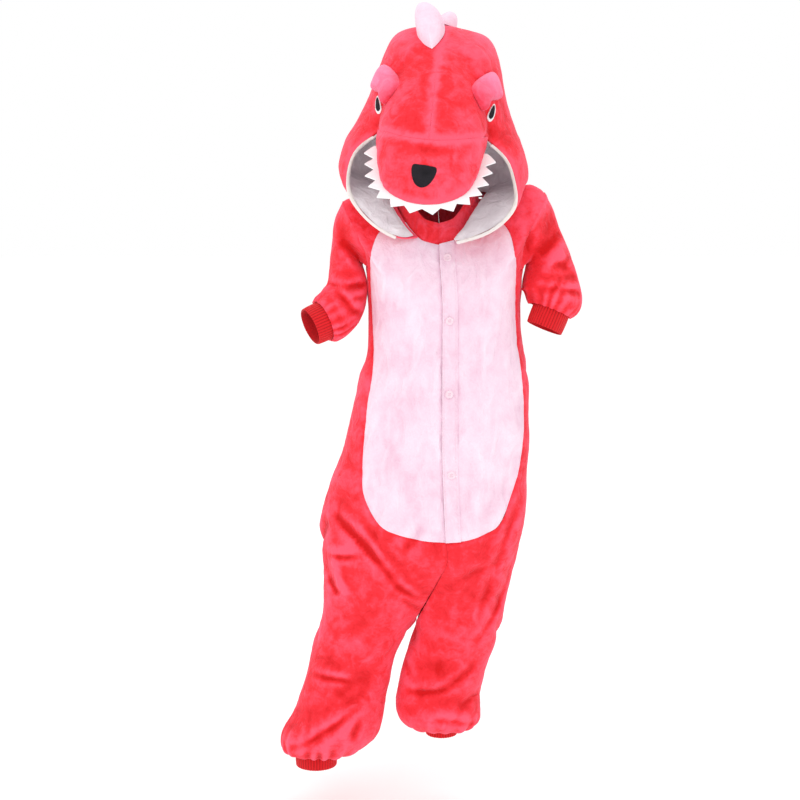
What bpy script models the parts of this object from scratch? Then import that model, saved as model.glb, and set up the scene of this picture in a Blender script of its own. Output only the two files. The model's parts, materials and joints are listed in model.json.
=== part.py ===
"""A child's hooded dinosaur onesie in plush cloth, shaped as it hangs on its wearer.

The frame is +Z up with the front facing -Y. The origin is the base of the neck, between the shoulders,
where the wearer carries the garment. Right and left are those of somebody who faces it. Every size in
the tables is in millimetres, and the finished objects are in metres.
"""

import math
from collections import namedtuple

import bpy
import numpy as np
from mathutils import Vector
from mathutils.bvhtree import BVHTree

MM = 0.001
UP = np.array([0.0, 0.0, 1.0])

# Cloth
PLUSH = 3.0          # wall of the red and the pale plush
LINING = 2.0         # wall of the hood lining
FELT = 1.5           # wall of the felt cut-outs
SEAM_GAP = 0.3       # clearance between two pieces that are sewn edge to edge
LAID_GAP = 0.4       # clearance under a piece that is sewn on top of another

# Mesh of the body: columns run from the centre front round to the centre back of each half
COLUMNS = 16
BELLY_COLUMN = 5     # column on the edge of the belly panel
PLACKET_WIDTH = 24   # the first column runs along the edge of the placket
ARM_COLUMNS = (6, 10)
SIDE_COLUMN = 8
ARM_ROWS = (3, 7)
BELLY_ROW = 18       # row on the bottom edge of the belly panel
CROTCH_ROW = 27
SECTION_POWER = 2.3  # 2 is an ellipse, more is boxier

# Height is read at the side. tilt lifts the right side and drops the left. front and back heights
# are offsets from the side. sag rounds the bottom edge of the belly panel.
TrunkRow = namedtuple(
    "TrunkRow", "height tilt front_rise back_rise sag mid left right front back belly_left belly_right")
TRUNK = [TrunkRow(*row) for row in (
    (36, 2, -66, 8, 0, 0, -68, 68, -68, 58, -52, 52),
    (37, 4, -97, -14, 0, 1, -98, 103, -80, 77, -81, 88),
    (43.5, 11, -127.5, -41.5, 0, 3, -129, 147, -88, 86, -99, 111),
    (43.5, 9.5, -150, -64, 0, 4, -155, 176, -93, 90, -107, 118),
    (16, 8, -141, -56, 0, 5, -142, 162, -95, 91, -108.5, 121),
    (-11, 5, -129, -45, 0, 5, -130, 149, -96, 91, -109, 122),
    (-37, 3, -117, -34, 0, 5, -122, 143, -96, 90, -109, 123),
    (-63, 1, -106, -22, 0, 5, -117, 138, -96, 90, -109, 123),
    (-88, 0, -96, -12, 0, 5, -114, 134, -96, 89, -109, 123),
    (-124, 0, -80, -6, 0, 5, -112, 132, -96, 88, -108, 123),
    (-162, 0, -62, 0, 0, 5, -112, 133, -96, 87, -105, 125),
    (-200, 0, -46, 0, 0, 5, -114, 137, -97, 87, -104, 130),
    (-237, 0, -32, 0, 0, 5, -123, 145, -98, 88, -107, 134),
    (-272, 0, -20, 0, 0, 5, -132, 147, -100, 90, -113, 137),
    (-306, 0, -12, 0, 0, 5, -140, 148, -102, 93, -116, 138),
    (-339, 0, -6, 0, 6, 5, -147, 149, -104, 96, -119, 137),
    (-371, 0, -2, 0, 18, 6, -156, 147, -105, 99, -121, 133),
    (-401, 0, 0, 0, 38, 8, -168, 145, -106, 102, -121, 127),
    (-430, 0, 0, 0, 68, 11, -179, 145, -106, 105, -118, 118),
    (-462, 0, 0, 0, 53, 14, -188, 144, -105, 107, -116, 112),
    (-494, 0, 0, 0, 38, 14, -191, 140, -103, 107, -112, 108),
    (-524, 0, 0, 0, 25, 8, -190, 134, -100, 106, -108, 104),
    (-552, 0, 0, 0, 15, 0, -188, 127, -96, 102, -104, 100),
    (-579, 0, 0, 0, 8, -9, -187, 121, -91, 97, -100, 94),
    (-602, 0, 0, 0, 4, -18, -188, 116, -86, 91, -98, 88),
    (-624, 0, 0, 0, 0, -26, -188, 112, -80, 84, -98, 84),
    (-641, 0, 0, 0, 0, -33, -190, 108, -75, 77, -98, 80),
    (-655, 0, 0, 0, 0, -37, -194, 105, -70, 71, -98, 76),
)]
CROTCH_START = -470   # height where the two legs begin to part
BELLY_REACH = 72.0    # the belly panel reaches round the body by this angle at most, in degrees

# The rings of each leg below the crotch: the last two turn in under the puffed hem, to the cuff.
LegRow = namedtuple("LegRow", "height left right front back")
LEG_RIGHT = [LegRow(*row) for row in (
    (-674, -39, 101, -67, 67),
    (-695, -47, 94, -65, 66),
    (-718, -55, 86, -64, 66),
    (-739, -61, 80, -63, 66),
    (-760, -65, 76, -62, 68),
    (-779, -68, 73, -64, 71),
    (-799, -69, 74, -66, 73),
    (-814, -64, 73, -64, 72),
    (-827, -49, 64, -53, 63),
    (-833, -33, 49, -36, 47),
    (-830, -20.3, 36.3, -22.8, 33.8),
)]
LEG_LEFT = [LegRow(*row) for row in (
    (-680, -201, -54, -69, 66),
    (-704, -208, -67, -69, 64),
    (-728, -213, -73, -70, 62),
    (-752, -219, -77, -71, 60),
    (-776, -228, -83, -73, 60),
    (-799, -236, -86, -76, 61),
    (-822, -249, -90, -80, 62),
    (-842, -258, -98, -79, 60),
    (-861, -258, -118, -69, 54),
    (-872, -250, -142, -56, 42),
    (-868, -236, -164, -43, 29),
)]

# The sleeves: centre line with its direction, then the half widths of each ring. out is measured
# away from the body and depth from front to back. The last ring gathers into the cuff.
SleeveRing = namedtuple("SleeveRing", "x y z along_x along_y along_z out depth")
SLEEVE_RIGHT = [SleeveRing(*row) for row in (
    (166, 5, -30, 0.84, 0.00, -0.55, 43, 40),
    (175, 0, -61, 0.51, -0.05, -0.86, 39, 44),
    (181, -7, -93, 0.22, -0.08, -0.97, 43, 45),
    (185, -12, -112, -0.15, -0.12, -0.97, 45, 46),
    (185, -15, -127, -0.30, -0.15, -0.93, 41, 44),
    (180, -18, -139, -0.38, -0.15, -0.91, 34.6, 34.6),
)]
SLEEVE_LEFT = [SleeveRing(*row) for row in (
    (-144, 5, -33, -0.83, 0.00, -0.56, 40, 40),
    (-146, 0, -63, -0.50, -0.06, -0.86, 30, 44),
    (-147, -9, -95, -0.17, -0.12, -0.98, 30, 45),
    (-150, -18, -118, -0.45, -0.28, -0.84, 36, 45),
    (-161, -27, -138, -0.72, -0.36, -0.58, 39, 43),
    (-175, -35, -149, -0.83, -0.38, -0.40, 38, 40),
    (-184, -39, -153, -0.85, -0.38, -0.36, 35.6, 35.6),
)]

# Ribbed cuffs: centre line from the end inside the garment to the free end.
RIBS = 26
RIB_DEPTH = 1.2
CUFF_WALL = 3.0
CUFF_EDGE = 1.5          # the free end is rounded over this length
CUFF_EDGE_TURN = 0.8
Cuff = namedtuple("Cuff", "name start end radius")
CUFFS = [
    Cuff("sleeve_cuff_right", (184.5, -16.2, -129), (169, -22.3, -166), 30.5),
    Cuff("sleeve_cuff_left", (-175.5, -35.2, -149.4), (-203.5, -47.7, -161.3), 31.5),
    Cuff("ankle_cuff_right", (8, 5.5, -818), (8, 5.5, -847), 27.0),
    Cuff("ankle_cuff_left", (-200, -7, -854), (-200, -7, -896), 34.8),
]

# The hood without its tilt. Every row of each half runs from the face edge round the side of the head
# to the centre back. The top row is the centre seam over the crown.
HoodRow = namedtuple("HoodRow", "face_x face_y face_z side_x side_y side_z back_y back_z")
HOOD = [HoodRow(*row) for row in (
    (50, -86, -24, 103, 0, 51, 87, 50),
    (98, -97, -4, 138, -6, 64, 105, 74),
    (125, -95, 26, 150, -11, 79, 114, 104),
    (131, -90, 60, 149, -13, 99, 119, 134),
    (122, -89, 104, 142, -11, 123, 120, 165),
    (86, -96, 138, 128, -8, 151, 118, 194),
    (82, -97, 164, 116, -6, 177, 112, 222),
    (75, -98, 190, 107, -4, 203, 104, 246),
    (64, -98, 214, 99, -2, 233, 92, 268),
    (47, -97, 241, 88, 0, 267, 77, 287),
    (25, -95, 259, 67, 0, 298, 56, 304),
    (0, -93, 267, 0, 0, 312, 30, 311),
)]
HOOD_FIRST_COLUMN = 2     # neckline column where the face edge of the hood starts
HOOD_SIDE = 6             # hood column at the widest part of the head
CORNER_ROW = 6            # hood row at the corner of the mouth
HOOD_FOOT = 4.0           # the hood stands this far out from the neckline edge
HOOD_FOOT_RISE = 1.0

# The snout, from the corner of the mouth to its middle: the crest that turns its top into its front,
# and the rim that carries the teeth.
SnoutPoint = namedtuple("SnoutPoint", "x y z")
CREST = [SnoutPoint(*point) for point in (
    (86, -96, 138), (82, -128, 140), (73, -152, 139), (59, -168, 137), (41, -178, 134), (21, -183, 132),
    (0, -184, 131))]
RIM = [SnoutPoint(*point) for point in (
    (86, -96, 138), (79, -130, 101), (74, -160, 75), (63, -188, 56), (45, -208, 45), (23, -220, 38),
    (0, -224, 36))]
BRIDGE_ROWS = 3           # rows from the forehead to the crest
LIP_ROWS = 3              # rows from the crest to the rim
BRIDGE_BULGE = 7.0
BRIDGE_SWELLS = (0.0, -0.6, 0.8)    # the way that the bridge bulges
LIP_BULGE = 6.0
LIP_FLARE = 0.8           # the lip bulges sideways by this share of its distance from the middle
UNDERSIDE_INSIDE_RIM = 5.1
UNDERSIDE_INSIDE_FOREHEAD = 7.0
UNDERSIDE_FOLD = SnoutPoint(78, -90, 133)   # where the underside turns up, at the corner of the mouth
LINING_REACH = 0.7        # how far down the hood's lowest row the lining reaches
LINING_SLACK = 1.5        # how much further in its hem hangs
BINDING_AHEAD = 2.3       # how far the rolled edge stands in front of the hood
BINDING_OVERHANG = 0.4
BINDING_END = 0.8         # how far the rolled edge runs along the last stretch to the mouth corner

# The tilt of the head
HEAD_YAW = math.radians(-4.5)
HEAD_ROLL = math.radians(4.0)
HEAD_PIVOT = 100.0
HEAD_SHIFT = -6.0
NECK_BLEND = 60.0         # the tilt fades out over this distance from the neckline
NECK_HEIGHT = 40.0        # the neckline at the side and back
NECK_SLOPE = 1.03         # how steeply the neckline falls towards the front
NECK_HALF_WIDTH = 72.0
NECK_HALF_DEPTH = 66.0
# The stand collar: height above the neckline edge and how far it leans in at its levels
BAND_LEVELS = ((-7.0, 0.0), (12.0, 3.0), (33.0, 8.0))
BAND_INSIDE = 2.2         # the collar stands this far inside the neckline
BAND_OPENING = 1.2        # half the gap between the collar's ends

TEETH = 14
TOOTH_HEIGHT = 22.0       # from the rim to a tooth's tip
TOOTH_BAND = 7.5          # from the rim to the notch between two teeth
TOOTH_FELT = 2.0
TOOTH_SEAM = 0.5
TEETH_START = 0.4         # how far past the rim's first point the strip runs up to the mouth corner
PLACKET_WALL = 2.4
BUTTONS = ((13, -50), (16, -147), (16, -262), (20, -389))   # across and up
BUTTON_RADIUS = 6.5
BUTTON_LAYERS = [(1.0, 0.7), (1.0, 2.2), (0.72, 2.8), (0.66, 2.2)]   # share of the radius and height
BUTTON_POINTS = 16

# Pieces sewn onto the head, before its tilt. An outline is measured across and up the cloth. A layer
# is a share of the outline and the height there. A seat is the start of a line that meets the cloth.
Seat = namedtuple("Seat", "x y z toward_middle")
BROW_SEAT = Seat(96, -170, 207, 0.25)
BROW_OUTLINE = [
    (-33, -6), (-25, -24), (-14, -36), (-5, -29), (2, -16), (15, -7), (31, 3), (24, 24), (10, 37),
    (-6, 28), (-22, 12)]
BROW_LAYERS = [(1.0, 1.5), (0.99, 8.0), (0.86, 14.0), (0.6, 18.5), (0.3, 20.5), (0.0, 21.0)]
BROW_LIFT = 1.4
EYE_SEAT = Seat(111, -160, 179, 0.35)
EYE_OUTLINE = [(-15, -4), (-6, -7.5), (8, -6), (16, 0.5), (4, 4.6), (-12, 4)]
EYE_LIFT = 0.6
EYE_SLANT = (0.62, 0.78)   # the eye's long side runs across and up by these shares
PUPIL_OUTLINE = [(-11, -2.5), (-4, -4.6), (7, -2.5), (12, 1.4), (3, 3.4), (-9, 2.8)]
PUPIL_FELT = 1.2
PUPIL_LIFT = 2.6
NOSE_START = (-3, -300, 77)
NOSE_ACROSS = (0.995, 0.0, -0.10)
NOSE_OUTLINE = [
    (-17.5, 2), (-10.5, -13), (0, -18.5), (10.5, -13), (17.5, 2), (17.5, 15), (7, 16.5), (-7, 16.5),
    (-17.5, 15)]
NOSE_LIFT = 0.7
Spike = namedtuple("Spike", "name x y half_length half_width height lean")
SPIKES = [
    Spike("spike_front", -17, -50, 50, 22, 38, 8),
    Spike("spike_rear", 1, 36, 30, 17, 31, -4),
]
SPIKE_OUTLINE = [(1, 0), (0.55, 0.8), (0, 1), (-0.55, 0.8), (-1, 0), (-0.55, -0.8), (0, -1), (0.55, -0.8)]
SPIKE_LAYERS = [(1.0, 0.03), (0.98, 0.2), (0.9, 0.5), (0.72, 0.75), (0.45, 0.92), (0.0, 1.0)]
SPIKE_LEAN_BACK = 18.0
SPIKE_LIFT = 1.6
ABOVE_THE_CROWN = 420.0
IN_FRONT = 200.0           # lines that look for the placket start this far forward
TALL_PIECE = 10.0          # a piece above this height gets more rings on its underside
CLEAR_OF_CLOTH = 30.0      # lines that look for the cloth start this far above it

# The largest folds, as troughs in the cloth from one point of the front view to another.
Fold = namedtuple("Fold", "piece facing x1 z1 x2 z2 depth width")
FOLDS = [Fold(*row) for row in (
    ("body", "front", -170, -440, -62, -545, 9, 22),
    ("body", "front", -178, -507, -128, -500, 5, 16),
    ("body", "front", -182, -487, -156, -567, 5, 16),
    ("body", "front", 100, -430, 52, -600, 6, 20),
    ("body", "front", 118, -530, 84, -600, 5, 15),
    ("body", "front", -116, -733, -250, -821, 10, 18),
    ("body", "front", -204, -698, -137, -702, 5, 14),
    ("body", "front", -55, -725, 15, -715, 6, 15),
    ("body", "front", -14, -767, 64, -784, 9, 16),
    ("body", "back", -150, -520, -20, -560, 7, 20),
    ("body", "back", 120, -500, 20, -560, 6, 20),
    ("body", "back", -230, -800, -110, -770, 8, 17),
    ("body", "back", 65, -790, -50, -760, 7, 16),
    ("body", "back", -90, -130, 60, -190, 6, 22),
    ("sleeve_right", "front", 185, -6, 145, -67, 5, 14),
    ("sleeve_right", "front", 230, -92, 190, -84, 6, 13),
    ("sleeve_right", "back", 225, -90, 160, -60, 6, 14),
    ("sleeve_left", "front", -150, -22, -110, -72, 5, 13),
    ("sleeve_left", "front", -176, -86, -112, -90, 7, 12),
    ("sleeve_left", "back", -176, -80, -120, -110, 6, 13),
)]

Finish = namedtuple("Finish", "name color roughness")
RED = Finish("red plush", (0.80, 0.05, 0.06, 1), 0.9)
RIB_RED = Finish("red rib knit", (0.62, 0.02, 0.03, 1), 0.85)
PALE = Finish("pale plush", (0.90, 0.68, 0.73, 1), 0.9)
LINED = Finish("lining fabric", (0.62, 0.54, 0.56, 1), 0.9)
WHITE = Finish("white felt", (0.90, 0.89, 0.88, 1), 0.9)
BLACK = Finish("black felt", (0.01, 0.01, 0.012, 1), 0.9)
BROW_PINK = Finish("pink plush", (0.78, 0.14, 0.24, 1), 0.9)
BUTTON_PINK = Finish("button plastic", (0.86, 0.62, 0.68, 1), 0.35)


def unit(vector):
    """The vector at a length of one."""
    return vector / max(np.linalg.norm(vector), 1e-9)


def smooth_step(value):
    """Zero to one with level ends."""
    value = min(max(value, 0.0), 1.0)
    return value * value * (3.0 - 2.0 * value)


def material(finish):
    """A Principled material for one finish."""
    found = bpy.data.materials.get(finish.name)
    if found:
        return found
    made = bpy.data.materials.new(finish.name)
    made.use_nodes = True
    shader = made.node_tree.nodes["Principled BSDF"]
    shader.inputs["Base Color"].default_value = finish.color
    shader.inputs["Roughness"].default_value = finish.roughness
    return made


def add_object(name, points, faces, finish):
    """A named object from points in millimetres."""
    mesh = bpy.data.meshes.new(name)
    mesh.from_pydata([tuple(float(value) * MM for value in point) for point in points], [], faces)
    mesh.materials.append(material(finish))
    mesh.validate()
    mesh.shade_smooth()
    made = bpy.data.objects.new(name, mesh)
    bpy.context.scene.collection.objects.link(made)
    return made


def split_quad(points, face):
    """The triangles of a face, cut along its shorter diagonal."""
    if len(face) == 3:
        return [tuple(face)]
    a, b, c, d = face
    if np.linalg.norm(points[a] - points[c]) <= np.linalg.norm(points[b] - points[d]):
        return [(a, b, c), (a, c, d)]
    return [(a, b, d), (b, c, d)]


def surface_normals(points, faces):
    """Smooth normals, weighted by face area."""
    normals = np.zeros_like(points)
    for face in faces:
        corners = points[list(face)]
        if len(face) == 4:
            area = np.cross(corners[2] - corners[0], corners[3] - corners[1])
        else:
            area = np.cross(corners[1] - corners[0], corners[2] - corners[0])
        for vertex in face:
            normals[vertex] += area
    return normals / np.maximum(np.linalg.norm(normals, axis=1), 1e-9)[:, None]


def border_edges(faces):
    """Edges with a face on one side only, in the direction of that face."""
    edges = {(face[i - 1], face[i]) for face in faces for i in range(len(face))}
    return [edge for edge in edges if (edge[1], edge[0]) not in edges]


def border_shifts(points, faces, edges, distance):
    """How far each border point moves into its own piece, mitred at the corners."""
    face_of = {(face[i - 1], face[i]): face for face in faces for i in range(len(face))}
    inward = {}
    for a, b in edges:
        along = unit(points[b] - points[a])
        middle = points[list(face_of[(a, b)])].mean(axis=0) - points[a]
        side = unit(middle - along * np.dot(middle, along))
        for vertex in (a, b):
            inward.setdefault(vertex, []).append(side)
    shifts = {}
    for vertex, sides in inward.items():
        total = sum(sides)
        mitre = max(1.0 + float(np.dot(sides[0], sides[-1])), 0.4)
        shifts[vertex] = total * distance / (mitre if len(sides) == 2 else len(sides))
    return shifts


def thicken(points, normals, faces, wall, lift=0.0, inset=SEAM_GAP / 2):
    """A closed wall: its outer face lies on the sheet, raised by lift, and the wall goes inward."""
    edges = border_edges(faces)
    shifts = border_shifts(points, faces, edges, inset)
    used = sorted({vertex for face in faces for vertex in face})
    outer_of = {vertex: number for number, vertex in enumerate(used)}
    inner_of = {vertex: number + len(used) for number, vertex in enumerate(used)}
    outer = [points[v] + shifts.get(v, 0.0) + normals[v] * lift for v in used]
    inner = [outer[number] - normals[v] * wall for number, v in enumerate(used)]
    triangles = []
    for face in faces:
        for a, b, c in split_quad(points, face):
            triangles.append((outer_of[a], outer_of[b], outer_of[c]))
            triangles.append((inner_of[a], inner_of[c], inner_of[b]))
    for a, b in edges:
        if a < b:
            triangles.append((outer_of[b], outer_of[a], inner_of[b]))
            triangles.append((outer_of[a], inner_of[a], inner_of[b]))
        else:
            triangles.append((outer_of[b], outer_of[a], inner_of[a]))
            triangles.append((outer_of[b], inner_of[a], inner_of[b]))
    return np.array(outer + inner), triangles


class Sheet:
    """One cloth surface whose faces belong to the pieces that are cut from it."""

    def __init__(self):
        self.index = {}
        self.places = []
        self.faces = []
        self.labels = []

    def point(self, key, place):
        """Adds a point, or finds the one that this key already has."""
        if key not in self.index:
            self.index[key] = len(self.places)
            self.places.append(np.array(place, float))
        return self.index[key]

    def face(self, label, corners, flip=False):
        """Adds a face of three or four corners, dropping a corner that repeats."""
        kept = [corner for i, corner in enumerate(corners) if corner != corners[i - 1]]
        if len(kept) < 3:
            return
        self.faces.append(tuple(reversed(kept)) if flip else tuple(kept))
        self.labels.append(label)

    def finish(self):
        """Settles the points and their normals."""
        self.points = np.array(self.places)
        self.normals = surface_normals(self.points, self.faces)

    def crease(self, folds):
        """Presses the folds into the cloth."""
        self.finish()
        piece_of = {number: key[0] for key, number in self.index.items()}
        for vertex, place in enumerate(self.points):
            normal = self.normals[vertex]
            depth = 0.0
            for fold in folds:
                facing = -normal[1] if fold.facing == "front" else normal[1]
                if fold.piece != piece_of[vertex] or facing <= 0.0:
                    continue
                start = np.array([fold.x1, fold.z1], float)
                run = np.array([fold.x2, fold.z2], float) - start
                here = place[[0, 2]] - start
                along = min(max(float(np.dot(here, run) / np.dot(run, run)), 0.0), 1.0)
                away = np.linalg.norm(here - run * along) / fold.width
                depth += fold.depth * math.exp(-away * away) * min(facing * 1.6, 1.0)
            self.places[vertex] = place - normal * depth
        self.finish()

    def solid(self, label, wall, lift=0.0, inset=SEAM_GAP / 2):
        """The closed wall of one piece."""
        faces = [face for face, name in zip(self.faces, self.labels) if name == label]
        return thicken(self.points, self.normals, faces, wall, lift, inset)


def signed_power(value, power):
    """The value raised to a power, keeping its sign."""
    return math.copysign(abs(value) ** power, value)


def column_angle(row, side, column):
    """Where a column stands on its section, in radians from the centre front."""
    half_width = (row.right - row.mid) if side > 0 else (row.mid - row.left)
    belly_edge = (row.belly_right - row.mid) if side > 0 else (row.mid - row.belly_left)
    share = min(belly_edge / half_width, 0.999)
    edge = min(math.asin(share ** (SECTION_POWER / 2)), math.radians(BELLY_REACH))
    if column <= BELLY_COLUMN:
        strip = math.asin((PLACKET_WIDTH / half_width) ** (SECTION_POWER / 2))
        return 0.0 if column == 0 else strip + (edge - strip) * (column - 1) / (BELLY_COLUMN - 1)
    share = (column - BELLY_COLUMN) / (COLUMNS - BELLY_COLUMN)
    middle = (SIDE_COLUMN - BELLY_COLUMN) / (COLUMNS - BELLY_COLUMN)
    if share <= middle:
        return edge + (math.pi / 2 - edge) * share / middle
    return math.pi / 2 + (math.pi / 2) * (share - middle) / (1 - middle)


def trunk_point(row, side, column):
    """A point on the half section of the trunk."""
    angle = column_angle(row, side, column)
    half_width = (row.right - row.mid) if side > 0 else (row.mid - row.left)
    across = signed_power(math.sin(angle), 2 / SECTION_POWER)
    through = signed_power(math.cos(angle), 2 / SECTION_POWER)
    depth = row.front if through >= 0 else -row.back
    rise = (row.front_rise if through >= 0 else row.back_rise) * math.cos(angle) ** 2
    drop = 0.0
    if column < BELLY_COLUMN:
        drop = row.sag * math.sqrt(1.0 - (column / BELLY_COLUMN) ** 2)
    side_height = row.height + row.tilt * side * math.sin(angle) ** 2
    return np.array([row.mid + side * half_width * across, depth * through, side_height + rise - drop])


def ring_point(height, inner, outer, front, back, column, side):
    """A point on a closed leg ring that starts at the inseam and passes the front first."""
    angle = 2 * math.pi * column / COLUMNS
    centre = (inner + outer) / 2
    half_width = abs(outer - inner) / 2
    middle = (front + back) / 2
    half_depth = (back - front) / 2
    return np.array([
        centre - side * half_width * math.cos(angle), middle - half_depth * math.sin(angle), height])


def body_point(side, row_number, column):
    """A point of the body or of a leg."""
    if row_number > CROTCH_ROW:
        ring = (LEG_RIGHT if side > 0 else LEG_LEFT)[row_number - CROTCH_ROW - 1]
        inner, outer = (ring.left, ring.right) if side > 0 else (ring.right, ring.left)
        return ring_point(ring.height, inner, outer, ring.front, ring.back, column, side)
    row = TRUNK[row_number]
    trunk = trunk_point(row, side, column)
    if row.height >= CROTCH_START:
        return trunk
    parted = min((CROTCH_START - row.height) / (CROTCH_START - TRUNK[CROTCH_ROW].height), 1.0)
    share = 1.0 - math.sqrt(max(1.0 - parted * parted, 0.0))
    outer = row.right if side > 0 else row.left
    ring = ring_point(row.height, row.mid, outer, row.front, row.back, column, side)
    return trunk * (1.0 - share) + ring * share


def body_key(side, row, column):
    """The name of a body point: the two halves share their centre seams, and a leg closes on itself."""
    if column in (0, COLUMNS):
        if row == CROTCH_ROW:
            return ("body", "crotch")
        if row < CROTCH_ROW:
            return ("body", "middle", row, column)
        return ("body", side, row, 0)
    return ("body", side, row, column)


def body_label(side, row, column):
    """The piece that a face of the body belongs to."""
    name = "right" if side > 0 else "left"
    if column < BELLY_COLUMN and row < BELLY_ROW:
        return "belly_" + name
    return ("front_" if column < SIDE_COLUMN else "back_") + name


def armhole_loop():
    """Row and column of each point round the armhole, from its upper front corner."""
    top, bottom = ARM_ROWS
    first, last = ARM_COLUMNS
    loop = [(top, column) for column in range(first, last)]
    loop += [(row, last) for row in range(top, bottom)]
    loop += [(bottom, column) for column in range(last, first, -1)]
    loop += [(row, first) for row in range(bottom, top, -1)]
    return loop


def add_body(sheet):
    """The trunk, the legs and the belly panel."""
    last_row = CROTCH_ROW + len(LEG_RIGHT)
    for side in (1, -1):
        for row in range(last_row + 1):
            for column in range(COLUMNS + 1):
                sheet.point(body_key(side, row, column), body_point(side, row, column))
        for row in range(last_row):
            for column in range(COLUMNS):
                inside_rows = ARM_ROWS[0] <= row < ARM_ROWS[1]
                if inside_rows and ARM_COLUMNS[0] <= column < ARM_COLUMNS[1]:
                    continue
                corners = [(row, column), (row + 1, column), (row + 1, column + 1), (row, column + 1)]
                numbers = [sheet.index[body_key(side, *corner)] for corner in corners]
                sheet.face(body_label(side, row, column), numbers, flip=side < 0)


def square_centre_seam(sheet):
    """Keeps the walls of the two halves square to the centre seam between the legs."""
    for key, vertex in sheet.index.items():
        if key[1] == "crotch" or (key[1] == "middle" and key[2] > CROTCH_ROW - 4):
            sheet.normals[vertex] = unit(sheet.normals[vertex] * np.array([0.0, 1.0, 1.0]))


def add_sleeve(sheet, side, rings):
    """A sleeve that grows out of the armhole and ends gathered at its cuff."""
    name = "sleeve_right" if side > 0 else "sleeve_left"
    loop = armhole_loop()
    count = len(loop)
    previous = [sheet.index[body_key(side, row, column)] for row, column in loop]
    outward = UP.copy()
    top_offset = (ARM_COLUMNS[1] - ARM_COLUMNS[0]) / 2
    for number, ring in enumerate(rings):
        along = unit(np.array([ring.along_x, ring.along_y, ring.along_z], float))
        outward = unit(outward - along * np.dot(outward, along))
        backward = np.cross(along, outward) * side
        if backward[1] < 0:
            backward = -backward
        centre = np.array([ring.x, ring.y, ring.z], float)
        current = []
        for step in range(count):
            angle = 2 * math.pi * (step - top_offset) / count
            place = centre + outward * ring.out * math.cos(angle) + backward * ring.depth * math.sin(angle)
            current.append(sheet.point((name, number, step), place))
        for step in range(count):
            after = (step + 1) % count
            sheet.face(name, [previous[step], current[step], current[after], previous[after]], side < 0)
        previous = current


def hood_point(row, column, columns):
    """A point of the untilted right half of the hood."""
    if column <= HOOD_SIDE:
        turn = math.pi / 2 * column / HOOD_SIDE
        across = math.sin(turn)
        through = 0.5 * (1 - math.cos(turn)) + 0.5 * column / HOOD_SIDE
        return np.array([
            row.face_x + (row.side_x - row.face_x) * across,
            row.face_y + (row.side_y - row.face_y) * through,
            row.face_z + (row.side_z - row.face_z) * across])
    turn = math.pi / 2 * (column - HOOD_SIDE) / (columns - HOOD_SIDE)
    return np.array([
        row.side_x * math.cos(turn),
        row.side_y + (row.back_y - row.side_y) * math.sin(turn),
        row.side_z + (row.back_z - row.side_z) * math.sin(turn) ** 2])


def neckline_foot(side, column):
    """Where the hood stands on the body, just above the neckline edge."""
    edge = body_point(side, 0, column)
    below = body_point(side, 1, column)
    return edge + unit(below - edge) * HOOD_FOOT + UP * HOOD_FOOT_RISE


def tilt_head(place):
    """Turns a point of the hood with the head, fading out at the neckline."""
    x, y, z = place
    neckline = NECK_HEIGHT + min(0.0, y) * NECK_SLOPE
    spread = (math.hypot(x / NECK_HALF_WIDTH, y / NECK_HALF_DEPTH) - 1.0) * 100.0
    share = smooth_step(max(spread, z - neckline) / NECK_BLEND)
    turned_x = x * math.cos(HEAD_YAW) - y * math.sin(HEAD_YAW)
    turned_y = x * math.sin(HEAD_YAW) + y * math.cos(HEAD_YAW)
    height = z - HEAD_PIVOT
    rolled_x = turned_x * math.cos(HEAD_ROLL) + height * math.sin(HEAD_ROLL) + HEAD_SHIFT
    rolled_z = height * math.cos(HEAD_ROLL) - turned_x * math.sin(HEAD_ROLL) + HEAD_PIVOT
    return place * (1 - share) + np.array([rolled_x, turned_y, rolled_z]) * share


def snout_rows():
    """The rows of the right half of the snout, from the forehead to the rim."""
    arch = [hood_point(row, 0, 1) for row in HOOD[CORNER_ROW - 1:]]
    crest = [np.array(point, float) for point in CREST]
    rim = [np.array(point, float) for point in RIM]
    rows = []
    for number in range(BRIDGE_ROWS + 1):
        share = number / BRIDGE_ROWS
        swell = np.array(BRIDGE_SWELLS) * BRIDGE_BULGE * math.sin(math.pi * share)
        rows.append([a + (b - a) * share + swell * min(step / 3, 1)
                     for step, (a, b) in enumerate(zip(arch, crest))])
    for number in range(1, LIP_ROWS + 1):
        share = number / LIP_ROWS
        swell = LIP_BULGE * math.sin(math.pi * share)
        swells = [unit(np.array([a[0] * LIP_FLARE, -60.0, 25.0])) * swell for a in crest]
        rows.append([a + (b - a) * share + swells[step] * min(step / 2, 1)
                     for step, (a, b) in enumerate(zip(crest, rim))])
    return rows


def hood_key(side, row, column, columns):
    """The name of a hood point: the halves share their centre seam."""
    top = len(HOOD)
    if row == top and column == columns:
        row = top - 1
    if row == top or column == columns:
        side = 0
    return ("hood", side, row, column)


def snout_key(side, row, step):
    """The name of a snout point: its back row lies on the forehead edge of the hood."""
    middle = len(CREST) - 1
    if step == 0:
        return hood_key(side, CORNER_ROW, 0, COLUMNS)
    if row == 0:
        return hood_key(side, CORNER_ROW + step, 0, COLUMNS)
    return ("snout", 0 if step == middle else side, row, step)


def mirrored(place, side):
    """The point with its distance across multiplied by side."""
    return place * np.array([side, 1.0, 1.0])


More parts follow.
